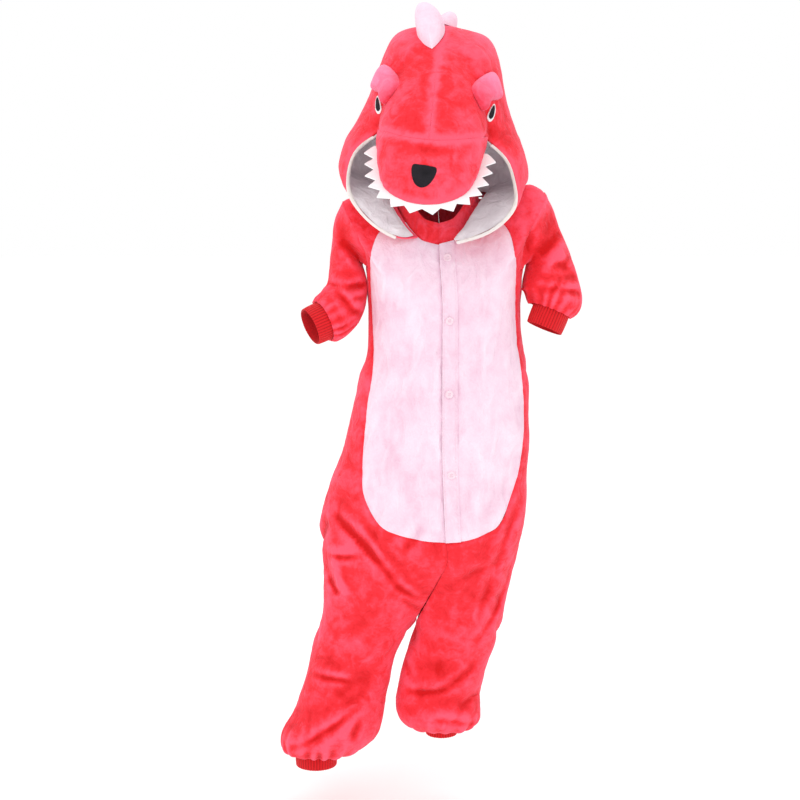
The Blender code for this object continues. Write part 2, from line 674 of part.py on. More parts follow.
def build_hood():
    """The hood and snout as one sheet, before the tilt of the head."""
    sheet = Sheet()
    columns = COLUMNS - HOOD_FIRST_COLUMN
    rows = snout_rows()
    for side in (1, -1):
        name = "hood_right" if side > 0 else "hood_left"
        for column in range(columns + 1):
            foot = neckline_foot(side, column + HOOD_FIRST_COLUMN)
            sheet.point(hood_key(side, 0, column, columns), foot)
            for number, row in enumerate(HOOD, 1):
                place = mirrored(hood_point(row, column, columns), side)
                sheet.point(hood_key(side, number, column, columns), place)
        for row in range(len(HOOD)):
            for column in range(columns):
                corners = [(row, column), (row, column + 1), (row + 1, column + 1), (row + 1, column)]
                numbers = [sheet.index[hood_key(side, *corner, columns)] for corner in corners]
                sheet.face(name, numbers, flip=side < 0)
        for number, row in enumerate(rows):
            for step, place in enumerate(row):
                sheet.point(snout_key(side, number, step), mirrored(place, side))
        for number in range(len(rows) - 1):
            label = name if number < BRIDGE_ROWS else "snout_front"
            for step in range(len(CREST) - 1):
                corners = [(number, step), (number + 1, step), (number + 1, step + 1), (number, step + 1)]
                numbers = [sheet.index[snout_key(side, *corner)] for corner in corners]
                sheet.face(label, numbers, flip=side > 0)
    sheet.finish()
    return sheet


def build_lining(hood):
    """The lining inside the hood: the hood's own points, moved in by its wall.

    Its lowest row ends above the neckline, part of the way down the hood's own lowest row.
    """
    columns = COLUMNS - HOOD_FIRST_COLUMN
    points, normals = list(hood.points), list(hood.normals)
    hem = {}
    for side in (1, -1):
        for column in range(columns + 1):
            foot = hood.index[hood_key(side, 0, column, columns)]
            above = hood.index[hood_key(side, 1, column, columns)]
            if foot not in hem:
                hem[foot] = len(points)
                ends = [above, foot]
                place, normal = (np.average(line[ends], axis=0, weights=(1 - LINING_REACH, LINING_REACH))
                                 for line in (hood.points, hood.normals))
                points.append(place - unit(normal) * LINING_SLACK)
                normals.append(unit(normal))
    faces = []
    for side in (1, -1):
        for row in range(len(HOOD)):
            for column in range(columns):
                corners = [(row, column), (row, column + 1), (row + 1, column + 1), (row + 1, column)]
                numbers = [hood.index[hood_key(side, *corner, columns)] for corner in corners]
                numbers = [hem.get(number, number) for number in numbers]
                kept = [v for i, v in enumerate(numbers) if v != numbers[i - 1]]
                faces.append(tuple(reversed(kept)) if side < 0 else tuple(kept))
    return thicken(np.array(points), np.array(normals), faces, LINING, lift=-(PLUSH + SEAM_GAP))


def build_underside(hood):
    """The lined underside of the snout, which turns up inside the forehead."""
    sheet = Sheet()
    middle = len(RIM) - 1
    last = len(snout_rows()) - 1
    for side in (1, -1):
        for step in range(1, middle + 1):
            rim = hood.index[snout_key(side, last, step)]
            arch = hood.index[snout_key(side, 0, step)]
            front = hood.points[rim] - hood.normals[rim] * UNDERSIDE_INSIDE_RIM
            top = hood.points[arch] - hood.normals[arch] * UNDERSIDE_INSIDE_FOREHEAD
            top = top + np.array([0, UNDERSIDE_INSIDE_FOREHEAD, 0])
            back = mirrored(np.array(UNDERSIDE_FOLD, float), side * (1 - step / middle))
            key_side = 0 if step == middle else side
            for number, place in enumerate((front, (front + back) / 2, back, (back + top) / 2, top)):
                sheet.point(("underside", key_side, number, step), place)
        for step in range(1, middle):
            for number in range(4):
                corners = [(number, step), (number + 1, step), (number + 1, step + 1), (number, step + 1)]
                numbers = [sheet.index[("underside", 0 if k == middle else side, n, k)] for n, k in corners]
                sheet.face("snout_underside", numbers, flip=side > 0)
    sheet.finish()
    return sheet.solid("snout_underside", LINING, inset=0.0)


def build_binding(hood, side):
    """The rolled edge in front of the hood and its lining, from the neckline to the mouth corner."""
    columns = COLUMNS - HOOD_FIRST_COLUMN
    depth = PLUSH + SEAM_GAP + LINING
    over = BINDING_OVERHANG
    profile = [(over, 2 * over), (depth + over, 2 * over), (depth + 1.5 * over, BINDING_AHEAD),
               (depth / 2, BINDING_AHEAD + 4 * over), (-over, BINDING_AHEAD)]
    numbers = [[hood.index[hood_key(side, row, column, columns)] for row in range(CORNER_ROW + 1)]
               for column in (0, 1)]
    edge, behind = hood.points[numbers[0]], hood.points[numbers[1]]
    normals = hood.normals[numbers[0]]
    for line in (edge, behind, normals):
        line[CORNER_ROW] = line[CORNER_ROW - 1] * (1 - BINDING_END) + line[CORNER_ROW] * BINDING_END
    rings = []
    for row in range(1, CORNER_ROW + 1):
        along = edge[min(row + 1, CORNER_ROW)] - edge[row - 1]
        normal = unit(normals[row])
        forward = unit(np.cross(along, normal))
        if np.dot(forward, edge[row] - behind[row]) < 0:
            forward = -forward
        rings.append([edge[row] - normal * inward + forward * ahead for inward, ahead in profile])
    return loft(rings, flip=side < 0)


def loft(rings, flip=False):
    """A closed solid through rings with the same number of points, capped flat at both ends."""
    count = len(rings[0])
    points = [place for ring in rings for place in ring]
    faces = []
    for number in range(len(rings) - 1):
        for step in range(count):
            after = (step + 1) % count
            low, high = number * count, (number + 1) * count
            faces.append((low + step, low + after, high + after, high + step))
    triangles = []
    array = np.array(points)
    for face in faces:
        triangles += split_quad(array, face)
    for step in range(1, count - 1):
        triangles.append((0, step + 1, step))
        top = (len(rings) - 1) * count
        triangles.append((top, top + step, top + step + 1))
    if flip:
        triangles = [tuple(reversed(face)) for face in triangles]
    return array, triangles


def along_curve(places, count):
    """Points at equal distances along a line through the given places."""
    places = np.array(places)
    lengths = np.concatenate([[0.0], np.cumsum(np.linalg.norm(np.diff(places, axis=0), axis=1))])
    wanted = np.linspace(0.0, lengths[-1], count)
    return np.array([[np.interp(value, lengths, places[:, axis]) for axis in range(3)] for value in wanted])


def teeth_seats(hood):
    """The line round the snout's rim that the strip of teeth is sewn to."""
    middle = len(RIM) - 1
    last = len(snout_rows()) - 1
    keys = [snout_key(1, last, step) for step in range(1, middle + 1)]
    keys += [snout_key(-1, last, step) for step in range(middle - 1, 0, -1)]
    edge = np.array([hood.points[hood.index[key]] for key in keys])
    above = np.array([hood.points[hood.index[(key[0], key[1], key[2] - 1, key[3])]] for key in keys])
    normals = np.array([hood.normals[hood.index[key]] for key in keys])
    downs = np.array([unit(low - high) for low, high in zip(edge, above)])
    seats = edge - normals * PLUSH / 2 + downs * TOOTH_SEAM
    corners = [hood.points[hood.index[snout_key(side, last, 0)]] for side in (1, -1)]
    first = seats[0] + (corners[0] - seats[0]) * TEETH_START
    final = seats[-1] + (corners[1] - seats[-1]) * TEETH_START
    return along_curve([first, *seats, final], 2 * TEETH + 1)


def build_teeth(hood):
    """The felt strip of teeth that stands out all round the snout's rim."""
    seats = teeth_seats(hood)
    fine = len(seats)
    sides = unit(seats[0] - seats[-1])
    forward = unit(seats[TEETH] - (seats[0] + seats[-1]) / 2)
    flat = unit(np.cross(sides, forward))
    if flat[2] > 0:
        flat = -flat
    points = []
    for number, seat in enumerate(seats):
        before, after = seats[max(number - 1, 0)], seats[min(number + 1, fine - 1)]
        out = unit(np.cross(unit(after - before), flat))
        if np.dot(out, forward) + np.dot(out, sides) * np.sign(np.dot(seat - seats[TEETH], sides)) < 0:
            out = -out
        tip = seat + out * (TOOTH_HEIGHT if number % 2 else TOOTH_BAND)
        points += [seat, tip, seat + flat * TOOTH_FELT, tip + flat * TOOTH_FELT]
    faces = []
    for number in range(fine - 1):
        a, b = number * 4, number * 4 + 4
        faces += [(a, b, b + 1, a + 1), (a + 2, a + 3, b + 3, b + 2)]
        faces += [(a, a + 2, b + 2, b), (a + 1, b + 1, b + 3, a + 3)]
    end = (fine - 1) * 4
    faces += [(0, 1, 3, 2), (end, end + 2, end + 3, end + 1)]
    array = np.array(points)
    return array, [triangle for face in faces for triangle in split_quad(array, face)]


def outline(corners, count):
    """A closed smooth outline through a few corners."""
    corners = np.array(corners, float)
    total = len(corners)
    places = []
    for number in range(count):
        at = number * total / count
        first = int(at)
        t = at - first
        p0, p1, p2, p3 = (corners[(first + k - 1) % total] for k in range(4))
        places.append(0.5 * (2 * p1 + (p2 - p0) * t + (2 * p0 - 5 * p1 + 4 * p2 - p3) * t ** 2
                             + (3 * p1 - p0 - 3 * p2 + p3) * t ** 3))
    return np.array(places)


class Ground:
    """The surface that small pieces are sewn onto."""

    def __init__(self, points, faces):
        self.tree = BVHTree.FromPolygons([Vector(point) for point in points], faces)

    def seat(self, start, direction):
        """Where a ray meets the surface, and the way the surface faces there."""
        place, normal, _, _ = self.tree.ray_cast(Vector(start), Vector(direction))
        if place is None:
            place, normal, _, _ = self.tree.find_nearest(Vector(start))
        return np.array(place), np.array(normal)


def sewn_on(ground, start, toward, across, shape, lift, layers, lean=(0.0, 0.0)):
    """A piece that lies on the ground: its underside follows the ground and layers shape its top.

    Each layer is a share of the outline and the height there. lean moves the top along the piece.
    """
    centre, facing = ground.seat(start, toward)
    facing = unit(facing)
    right = unit(np.array(across, float) - facing * np.dot(across, facing))
    up = np.cross(facing, right)
    count = len(shape)
    top_height = layers[-1][1]

    def place(point, height):
        share = height / top_height
        offset = right * point[0] + up * point[1]
        base, _ = ground.seat(centre + offset + facing * CLEAR_OF_CLOTH, -facing)
        shift = right * lean[0] + up * lean[1]
        return base + facing * (lift + height) + shift * share * share

    rings = [[place(corner * share, height) for corner in shape] for share, height in layers[:-1]]
    shares = (0.3, 0.6, 0.82, 1.0) if top_height > TALL_PIECE else (0.5, 1.0)
    under = [[place(corner * share, 0.0) for corner in shape] for share in shares]
    points = [place(np.zeros(2), 0.0)] + [p for ring in under + rings for p in ring]
    points.append(place(np.zeros(2), top_height))
    total = len(under) + len(rings)
    faces = []
    for step in range(count):
        after = (step + 1) % count
        faces.append((0, 1 + after, 1 + step))
        for ring in range(total - 1):
            low, high = 1 + ring * count, 1 + (ring + 1) * count
            faces.append((low + step, low + after, high + after, high + step))
        top = 1 + (total - 1) * count
        faces.append((top + step, top + after, len(points) - 1))
    array = np.array(points)
    return array, [triangle for face in faces for triangle in split_quad(array, face)]


def ribbed_tube(cuff):
    """A knitted cuff: ribs raised on the outside of a plain tube."""
    start, end = np.array(cuff.start, float), np.array(cuff.end, float)
    along = unit(end - start)
    right = unit(np.cross(along, [0.0, 1.0, 0.2]))
    front = np.cross(along, right)
    count = 2 * RIBS
    stations = ((start, 0.0), (end - along * CUFF_EDGE, 0.0), (end, CUFF_EDGE_TURN))
    rings = []
    for place, turn_in in stations:
        ring = []
        for step in range(count):
            angle = 2 * math.pi * step / count
            radius = cuff.radius - (RIB_DEPTH if step % 2 else 0.0) - turn_in
            ring.append(place + (right * math.cos(angle) + front * math.sin(angle)) * radius)
        rings.append(ring)
    for place in (end, start):
        inner = cuff.radius - CUFF_WALL
        rings.append([place + (right * math.cos(2 * math.pi * step / count)
                               + front * math.sin(2 * math.pi * step / count)) * inner
                      for step in range(count)])
    points = np.array([place for ring in rings for place in ring])
    triangles = []
    for number in range(len(rings)):
        low, high = number * count, (number + 1) % len(rings) * count
        for step in range(count):
            after = (step + 1) % count
            triangles += split_quad(points, (low + step, low + after, high + after, high + step))
    return points, triangles


def neck_band():
    """The stand collar just inside the neckline, open at the centre front."""
    ring = [body_point(1, 0, column) for column in range(COLUMNS + 1)]
    ring += [body_point(-1, 0, column) for column in range(COLUMNS - 1, -1, -1)]
    ring = np.array(ring)
    centre = ring.mean(axis=0)
    band = Sheet()
    for number, place in enumerate(ring):
        inward = unit((centre - place) * np.array([1.0, 1.0, 0.0]))
        seat = place + inward * BAND_INSIDE
        if number in (0, len(ring) - 1):
            seat = seat + np.array([BAND_OPENING if number == 0 else -BAND_OPENING, 0.0, 0.0])
        for level, (rise, lean) in enumerate(BAND_LEVELS):
            band.point(("band", level, number), seat + UP * rise + inward * lean)
    for number in range(len(ring) - 1):
        for level in range(len(BAND_LEVELS) - 1):
            corners = [(level, number), (level, number + 1), (level + 1, number + 1), (level + 1, number)]
            band.face("neck_band", [band.index[("band", *corner)] for corner in corners])
    band.finish()
    return band.solid("neck_band", PLUSH, inset=0.0)


def placket(sheet):
    """The button placket: the front columns of the right belly panel, moved out."""
    faces = []
    for row in range(BELLY_ROW):
        corners = [(row, 0), (row + 1, 0), (row + 1, 1), (row, 1)]
        faces.append(tuple(sheet.index[body_key(1, *corner)] for corner in corners))
    lift = PLACKET_WALL + LAID_GAP
    return thicken(sheet.points, sheet.normals, faces, PLACKET_WALL, lift=lift, inset=0.0)


def button(ground, across, height):
    """A round shirt button with a rimmed face, met by a line from the front."""
    turns = [2 * math.pi * step / BUTTON_POINTS for step in range(BUTTON_POINTS)]
    centre, normal = ground.seat((across, -IN_FRONT, height), (0.0, 1.0, 0.0))
    right = unit(np.cross(UP, normal)) * BUTTON_RADIUS
    up = unit(np.cross(normal, right)) * BUTTON_RADIUS
    rings = [[centre + (right * math.cos(turn) + up * math.sin(turn)) * share + normal * height
              for turn in turns] for share, height in BUTTON_LAYERS]
    return loft(rings)


def felt_layers(wall):
    """The layers of a flat piece."""
    return [(1.0, wall), (0.5, wall), (0.0, wall)]


def seat_line(seat, side):
    """The start and the direction of the line that meets the cloth at a seat."""
    return np.array([side * seat.x, seat.y, seat.z], float), np.array([-side * seat.toward_middle, 1.0, 0.0])


def brow_and_eye(ground, side):
    """A stuffed brow and the two layers of the felt eye beside it."""
    brow = (outline(BROW_OUTLINE, 2 * len(BROW_OUTLINE)) * np.array([side, 1.0]))[::side]
    eye = (outline(EYE_OUTLINE, 16) * np.array([1.0, side]))[::side]
    pupil = (outline(PUPIL_OUTLINE, 14) * np.array([1.0, side]))[::side]
    slant = (side * EYE_SLANT[0], 0.0, EYE_SLANT[1])
    return (sewn_on(ground, *seat_line(BROW_SEAT, side), (1.0, 0.0, 0.0), brow, BROW_LIFT, BROW_LAYERS),
            sewn_on(ground, *seat_line(EYE_SEAT, side), slant, eye, EYE_LIFT, felt_layers(FELT)),
            sewn_on(ground, *seat_line(EYE_SEAT, side), slant, pupil, PUPIL_LIFT, felt_layers(PUPIL_FELT)))


def face_pieces(ground):
    """The stuffed brows, the felt eyes and nose, and the spikes, before the tilt of the head."""
    made = {}
    for side, name in ((1, "right"), (-1, "left")):
        made["brow_" + name], made["eye_white_" + name], made["pupil_" + name] = brow_and_eye(ground, side)
    backward = np.array([0.0, 1.0, 0.0])
    nose = outline(NOSE_OUTLINE, 3 * len(NOSE_OUTLINE))
    made["nose_patch"] = sewn_on(
        ground, np.array(NOSE_START, float), backward, NOSE_ACROSS, nose, NOSE_LIFT, felt_layers(FELT))
    for spike in SPIKES:
        base = outline(SPIKE_OUTLINE, 2 * len(SPIKE_OUTLINE)) * (spike.half_length, spike.half_width)
        layers = [(share, level * spike.height) for share, level in SPIKE_LAYERS]
        start = np.array([spike.x, spike.y, ABOVE_THE_CROWN])
        made[spike.name] = sewn_on(
            ground, start, -UP, backward, base, SPIKE_LIFT, layers, lean=(SPIKE_LEAN_BACK, spike.lean))
    return made


def main():
    """Builds every piece of the garment."""
    for old in list(bpy.data.objects):
        bpy.data.objects.remove(old, do_unlink=True)

    skin = Sheet()
    add_body(skin)
    add_sleeve(skin, 1, SLEEVE_RIGHT)
    add_sleeve(skin, -1, SLEEVE_LEFT)
    skin.crease(FOLDS)
    square_centre_seam(skin)
    for name in ("front_right", "front_left", "back_right", "back_left", "sleeve_right", "sleeve_left"):
        add_object(name, *skin.solid(name, PLUSH), RED)
    for name in ("belly_right", "belly_left"):
        add_object(name, *skin.solid(name, PLUSH), PALE)
    strip = placket(skin)
    add_object("placket", *strip, PALE)
    strip_ground = Ground(*strip)
    for number, (across, height) in enumerate(BUTTONS, 1):
        add_object("button_%d" % number, *button(strip_ground, across, height), BUTTON_PINK)
    add_object("neck_band", *neck_band(), RED)
    for cuff in CUFFS:
        add_object(cuff.name, *ribbed_tube(cuff), RIB_RED)

    hood = build_hood()
    pieces = {name: hood.solid(name, PLUSH) for name in ("hood_right", "hood_left", "snout_front")}
    pieces["hood_lining"] = build_lining(hood)
    pieces["snout_underside"] = build_underside(hood)
    pieces["rim_binding_right"] = build_binding(hood, 1)
    pieces["rim_binding_left"] = build_binding(hood, -1)
    pieces["teeth"] = build_teeth(hood)
    triangles = [triangle for face in hood.faces for triangle in split_quad(hood.points, face)]
    pieces.update(face_pieces(Ground(hood.points, triangles)))
    finishes = {"hood": RED, "snout_front": RED, "hood_lining": LINED, "snout_underside": LINED,
                "rim_binding": LINED, "teeth": WHITE, "brow": BROW_PINK, "eye": WHITE, "pupil": BLACK,
                "nose": BLACK, "spike": PALE}
    for name, (points, faces) in pieces.items():
        match = max((key for key in finishes if name.startswith(key)), key=len)
        tilted = np.array([tilt_head(place) for place in points])
        add_object(name, tilted, faces, finishes[match])


main()
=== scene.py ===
"""Dresses a child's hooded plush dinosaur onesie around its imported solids.

Each cloth piece starts as the showing side of its solid. It is smoothed through the
solid's own points, creased, gathered and pressed in along its seams, and then given
its thickness again. Felt pieces, rim bindings, brows and spikes are smoothed as whole
solids. Cuffs, buttons, threads and stitches are made from their own sizes. Sizes are in
millimetres where a name doesn't say otherwise, up is +Z, and the front faces -Y.
"""

from __future__ import annotations

import json
import logging
import math
from dataclasses import dataclass, field
from enum import Enum

import bmesh
import bpy
import numpy as np
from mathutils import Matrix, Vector, noise
from mathutils.bvhtree import BVHTree
from mathutils.kdtree import KDTree

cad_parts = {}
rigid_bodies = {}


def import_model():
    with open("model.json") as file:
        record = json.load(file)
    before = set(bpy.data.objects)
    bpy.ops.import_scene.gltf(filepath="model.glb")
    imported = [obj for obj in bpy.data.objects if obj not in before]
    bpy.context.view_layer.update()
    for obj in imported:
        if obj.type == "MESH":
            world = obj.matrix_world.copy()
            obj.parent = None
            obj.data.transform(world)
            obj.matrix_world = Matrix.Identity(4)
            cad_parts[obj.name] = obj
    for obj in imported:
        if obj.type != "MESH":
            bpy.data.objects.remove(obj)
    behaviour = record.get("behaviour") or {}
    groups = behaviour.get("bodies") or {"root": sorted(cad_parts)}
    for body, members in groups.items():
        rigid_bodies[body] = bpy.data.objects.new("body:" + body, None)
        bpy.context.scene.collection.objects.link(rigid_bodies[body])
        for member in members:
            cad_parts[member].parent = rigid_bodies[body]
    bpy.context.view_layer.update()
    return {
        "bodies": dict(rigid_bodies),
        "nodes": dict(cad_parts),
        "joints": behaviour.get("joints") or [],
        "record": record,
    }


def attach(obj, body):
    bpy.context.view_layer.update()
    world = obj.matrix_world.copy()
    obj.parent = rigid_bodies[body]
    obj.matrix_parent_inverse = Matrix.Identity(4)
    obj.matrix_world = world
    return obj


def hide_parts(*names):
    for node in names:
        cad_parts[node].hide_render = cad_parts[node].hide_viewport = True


LOG = logging.getLogger("onesie")

MM = 0.001
ROOT = "root"
# A layer of painted light on each mesh: painted highlight on ridges, rib crests, seams and the
# brows' upper sides, and painted shade in hollows and grooves.
PAINTED_LIGHT_LAYER = "nap"
WELD = 0.00002
JOIN_SKEW = math.radians(100)
IN_FRONT = 200.0   # rays that look for the placket start this far forward, in millimetres
BEAD_RINGS = (-0.92, -0.6, 0.0, 0.6, 0.92)   # where a bar of thread has its rings
BEAD_STEPS = 6
BEAD_END = 0.45   # how wide a bar of thread is at its very end, as a share
PUSH_BACK = 0.85   # how much of the smoothing's shrinking is made up for in a round
LEVEL_ROUNDS = 10   # how often the cloth is evened out to find what stands out of it
NO_BORDER = 1000.0   # how far the border of a closed piece is said to be
NOISE_SHIFT = 7.3   # what a seed of 1 shifts the noise by
NOISE_GAIN = 1.6

Colour = tuple[float, float, float, float]
Point = tuple[float, float, float]


class Side(Enum):
    """Which side of a cloth wall shows."""

    OUTSIDE = 0
    INSIDE = 1


class Facing(Enum):
    """The way that a crease's cloth faces, as a unit vector."""

    FRONT = (0.0, -1.0, 0.0)
    BACK = (0.0, 1.0, 0.0)
    RIGHT = (1.0, 0.0, 0.0)
    LEFT = (-1.0, 0.0, 0.0)


class Wire:
    """A value in a shader, with arithmetic written as Python."""

    def __init__(self, painter: Painter, socket: bpy.types.NodeSocket) -> None:
        """Keeps a socket.

        Args:
            painter: owns the socket's node.
            socket: gives the value.
        """
        self.painter = painter
        self.socket = socket

    def maths(self, operation: str, *others: Wire | float) -> Wire:
        """Adds a Math node.

        Args:
            operation: the node's operation.
            others: what the node takes after this value.

        Returns:
            The node's result.
        """
        values = dict(enumerate((self, *others)))
        node = self.painter.node("ShaderNodeMath", {"operation": operation}, values)
        return Wire(self.painter, node.outputs[0])

    def __add__(self, other: Wire | float) -> Wire:
        """This value plus another."""
        return self.maths("ADD", other)

    __radd__ = __add__

    def __mul__(self, other: Wire | float) -> Wire:
        """This value times another."""
        return self.maths("MULTIPLY", other)

    __rmul__ = __mul__

    def __sub__(self, other: Wire | float) -> Wire:
        """This value less another."""
        return self.maths("SUBTRACT", other)

    def __rsub__(self, other: float) -> Wire:
        """A number less this value."""
        return (self * -1.0) + other

    def clamped(self) -> Wire:
        """This value, kept from 0 to 1."""
        return self.maths("MAXIMUM", 0.0).maths("MINIMUM", 1.0)


class Painter:
    """Builds one material from nodes."""

    def __init__(self, name: str) -> None:
        """Starts a material with an empty node tree and an output.

        Args:
            name: the material's name.
        """
        self.material = bpy.data.materials.new(name)
        self.material.use_nodes = True
        self.tree = self.material.node_tree
        self.tree.nodes.clear()
        self.output = self.node("ShaderNodeOutputMaterial")

    def node(
        self,
        kind: str,
        settings: dict[str, object] | None = None,
        values: dict[str | int, object] | None = None,
    ) -> bpy.types.Node:
        """Adds a node.

        Args:
            kind: the node's type.
            settings: its properties, set first. "stops" are a ramp's.
            values: a number, colour or wire for each named or numbered socket.

        Returns:
            The new node.
        """
        made = self.tree.nodes.new(kind)
        for key, setting in (settings or {}).items():
            if key == "stops":
                self.set_stops(made.color_ramp, setting)
            else:
                setattr(made, key, setting)
        for key, value in (values or {}).items():
            if isinstance(value, Wire):
                self.tree.links.new(value.socket, made.inputs[key])
            else:
                made.inputs[key].default_value = value
        return made

    @staticmethod
    def set_stops(ramp: bpy.types.ColorRamp, stops: list[tuple[float, Colour]]) -> None:
        """Gives a ramp its stops.

        Args:
            ramp: the ramp, changed in place.
            stops: a place from 0 to 1 and a colour for each.
        """
        while len(ramp.elements) < len(stops):
            ramp.elements.new(1.0)
        for element, (place, colour) in zip(ramp.elements, stops):
            element.position = place
            element.color = colour

    def place(self) -> Wire:
        """The point on the object, in metres."""
        return Wire(self, self.node("ShaderNodeTexCoord").outputs["Object"])

    def layer(self, name: str) -> Wire:
        """A number kept on the mesh's points."""
        made = self.node("ShaderNodeAttribute", {"attribute_name": name})
        return Wire(self, made.outputs["Fac"])

    def noise(
        self, scale: float, detail: float = 3.0, warp: float = 0.0, stretch: float = 1.0
    ) -> Wire:
        """Soft random patches.

        Args:
            scale: patches to a metre.
            detail: how many finer layers are added.
            warp: how far the patches are pulled out of shape.
            stretch: how much longer they are upward than across.

        Returns:
            The patches' value, about 0.5 in the middle.
        """
        drawn = {0: self.place(), 1: (1, 1, 1 / stretch)}
        node = self.node("ShaderNodeVectorMath", {"operation": "MULTIPLY"}, drawn)
        place = Wire(self, node.outputs[0])
        values = {"Vector": place, "Scale": scale, "Detail": detail, "Distortion": warp}
        return Wire(self, self.node("ShaderNodeTexNoise", None, values).outputs[0])

    def ramp(self, value: Wire, stops: list[tuple[float, Colour]]) -> Wire:
        """A colour for each value, from a ramp's stops."""
        made = self.node("ShaderNodeValToRGB", {"stops": stops}, {0: value})
        return Wire(self, made.outputs[0])

    def bump(self, height: Wire, depth: float, under: Wire | None = None) -> Wire:
        """Tilts the surface by a height.

        Args:
            height: from 0 to 1.
            depth: what 1 stands for, in metres.
            under: a bump that this one lies on.

        Returns:
            The tilted normal.
        """
        values: dict[str | int, object] = {"Height": height, "Distance": depth, "Strength": 1.0}
        if under is not None:
            values["Normal"] = under
        return Wire(self, self.node("ShaderNodeBump", None, values).outputs[0])

    def finish(self, values: dict[str | int, object]) -> bpy.types.Material:
        """Closes the material with one shader.

        Args:
            values: the shader's sockets.

        Returns:
            The material.
        """
        shader = self.node("ShaderNodeBsdfPrincipled", None, values)
        self.tree.links.new(shader.outputs[0], self.output.inputs[0])
        return self.material


@dataclass(frozen=True)
class Plush:
    """Short brushed pile in random patches, with painted shade in the hollows and painted highlight
    on the ridges and along seams.
    """

    name: str
    deep: Colour
    body: Colour
    bright: Colour
    sheen: Colour
    sheen_weight: float = 0.5
    patches: float = 13.0
    strokes: float = 42.0
    tufts: float = 260.0
    fibres: float = 900.0
    tuft_depth: float = 0.0011
    stroke_depth: float = 0.004
    stretch: float = 1.0
    patch_share: float = 0.55
    stroke_share: float = 0.55
    tuft_share: float = 0.22
    # How much the painted highlight on ridges and seams and the painted shade in hollows change the
    # colour.
    painted_light_share: float = 0.30
    darker: float = 0.16
    stops: Point = (0.22, 0.50, 0.80)
    tuft_height: float = 0.7
    fibre_height: float = 0.3

    def make(self) -> bpy.types.Material:
        """Builds the pile's material.

        Returns:
            The material.
        """
        paint = Painter(self.name)
        # The pile's colour takes the painted light layer: lighter on ridges and seams, darker in
        # hollows.
        nap = paint.layer(PAINTED_LIGHT_LAYER)
        patches = paint.noise(self.patches, 2.0, 0.6)
        strokes = paint.noise(self.strokes, 4.0, 1.2, self.stretch)
        tufts = paint.noise(self.tufts, 3.0, 0.4)
        fibres = paint.noise(self.fibres, 2.0)
        tone = patches * self.patch_share + strokes * self.stroke_share
        tone = tone + tufts * self.tuft_share + nap * self.painted_light_share - self.darker
        stops = list(zip(self.stops, (self.deep, self.body, self.bright)))
        brushed = paint.bump(strokes, self.stroke_depth)
        height = tufts * self.tuft_height + fibres * self.fibre_height
        return paint.finish(
            {
                "Base Color": paint.ramp(tone.clamped(), stops),
                "Roughness": 0.9,
                "Specular IOR Level": 0.15,
                "Sheen Weight": self.sheen_weight,
                "Sheen Roughness": 0.45,
                "Sheen Tint": self.sheen,
                "Normal": paint.bump(height, self.tuft_depth, brushed),
            }
        )


@dataclass(frozen=True)
class Patches:
    """One layer of soft random patches, and its share in a finish's colour."""

    scale: float
    detail: float
    warp: float
    share: float


@dataclass(frozen=True)
class Plain:
    """A finish of two colours, mixed by fine and coarse patches and by the painted light layer:
    painted highlight on ridges and painted shade in hollows.

    The fine patches also stand up a little, and so may the coarse ones.
    """

    name: str
    deep: Colour
    body: Colour
    stops: tuple[float, float]
    fine: Patches
    coarse: Patches
    depth: float
    coarse_depth: float = 0.0
    nap: float = 0.0
    lift: float = 0.0
    roughness: float = 0.9
    wear: float = 0.0
    specular: float = 0.15
    sheen: float = 0.0

    def make(self) -> bpy.types.Material:
        """Builds the finish's material.

        Returns:
            The material.
        """
        paint = Painter(self.name)
        fine, coarse = [
            paint.noise(layer.scale, layer.detail, layer.warp) for layer in (self.fine, self.coarse)
        ]
        tone = fine * self.fine.share + coarse * self.coarse.share + self.lift
        # Painted light: ridges lighter, hollows and grooves darker.
        if self.nap:
            tone = tone + paint.layer(PAINTED_LIGHT_LAYER) * self.nap
        colours = list(zip(self.stops, (self.deep, self.body)))
        under = paint.bump(coarse, self.coarse_depth) if self.coarse_depth else None
        roughness = self.roughness
        if self.wear:
            roughness = (fine * self.wear + (self.roughness - self.wear / 2.0)).clamped()
        return paint.finish(
            {
                "Base Color": paint.ramp(tone.clamped(), colours),
                "Roughness": roughness,
                "Specular IOR Level": self.specular,
                "Sheen Weight": self.sheen,
                "Normal": paint.bump(fine, self.depth, under),
            }
        )


def felt(name: str, deep: Colour, body: Colour) -> Plain:
    """Pressed felt: matt, with faint matted fibres.

    Args:
        name: the finish's name.
        deep: its colour between the fibres.
        body: its colour elsewhere.

    Returns:
        The finish.
    """
    fibres, cloud = Patches(700.0, 4.0, 1.5, 0.6), Patches(60.0, 2.0, 0.0, 0.5)
    return Plain(name, deep, body, (0.3, 0.65), fibres, cloud, 0.0004, roughness=0.92, sheen=0.1)


def woven(name: str, deep: Colour, body: Colour) -> Plain:
    """Thin plain-woven cloth, softly rumpled, with painted shade in the hollows of its rumples and
    creases.

    Args:
        name: the finish's name.
        deep: its colour as painted shade in the hollows.
        body: its colour elsewhere.

    Returns:
        The finish.
    """
    return Plain(
        name, deep, body, (0.25, 0.7), Patches(1400.0, 1.0, 0.0, 0.2), Patches(45.0, 4.0, 0.8, 0.7),
        0.0003, coarse_depth=0.004, nap=0.25, lift=0.05, roughness=0.7, specular=0.3,
    )


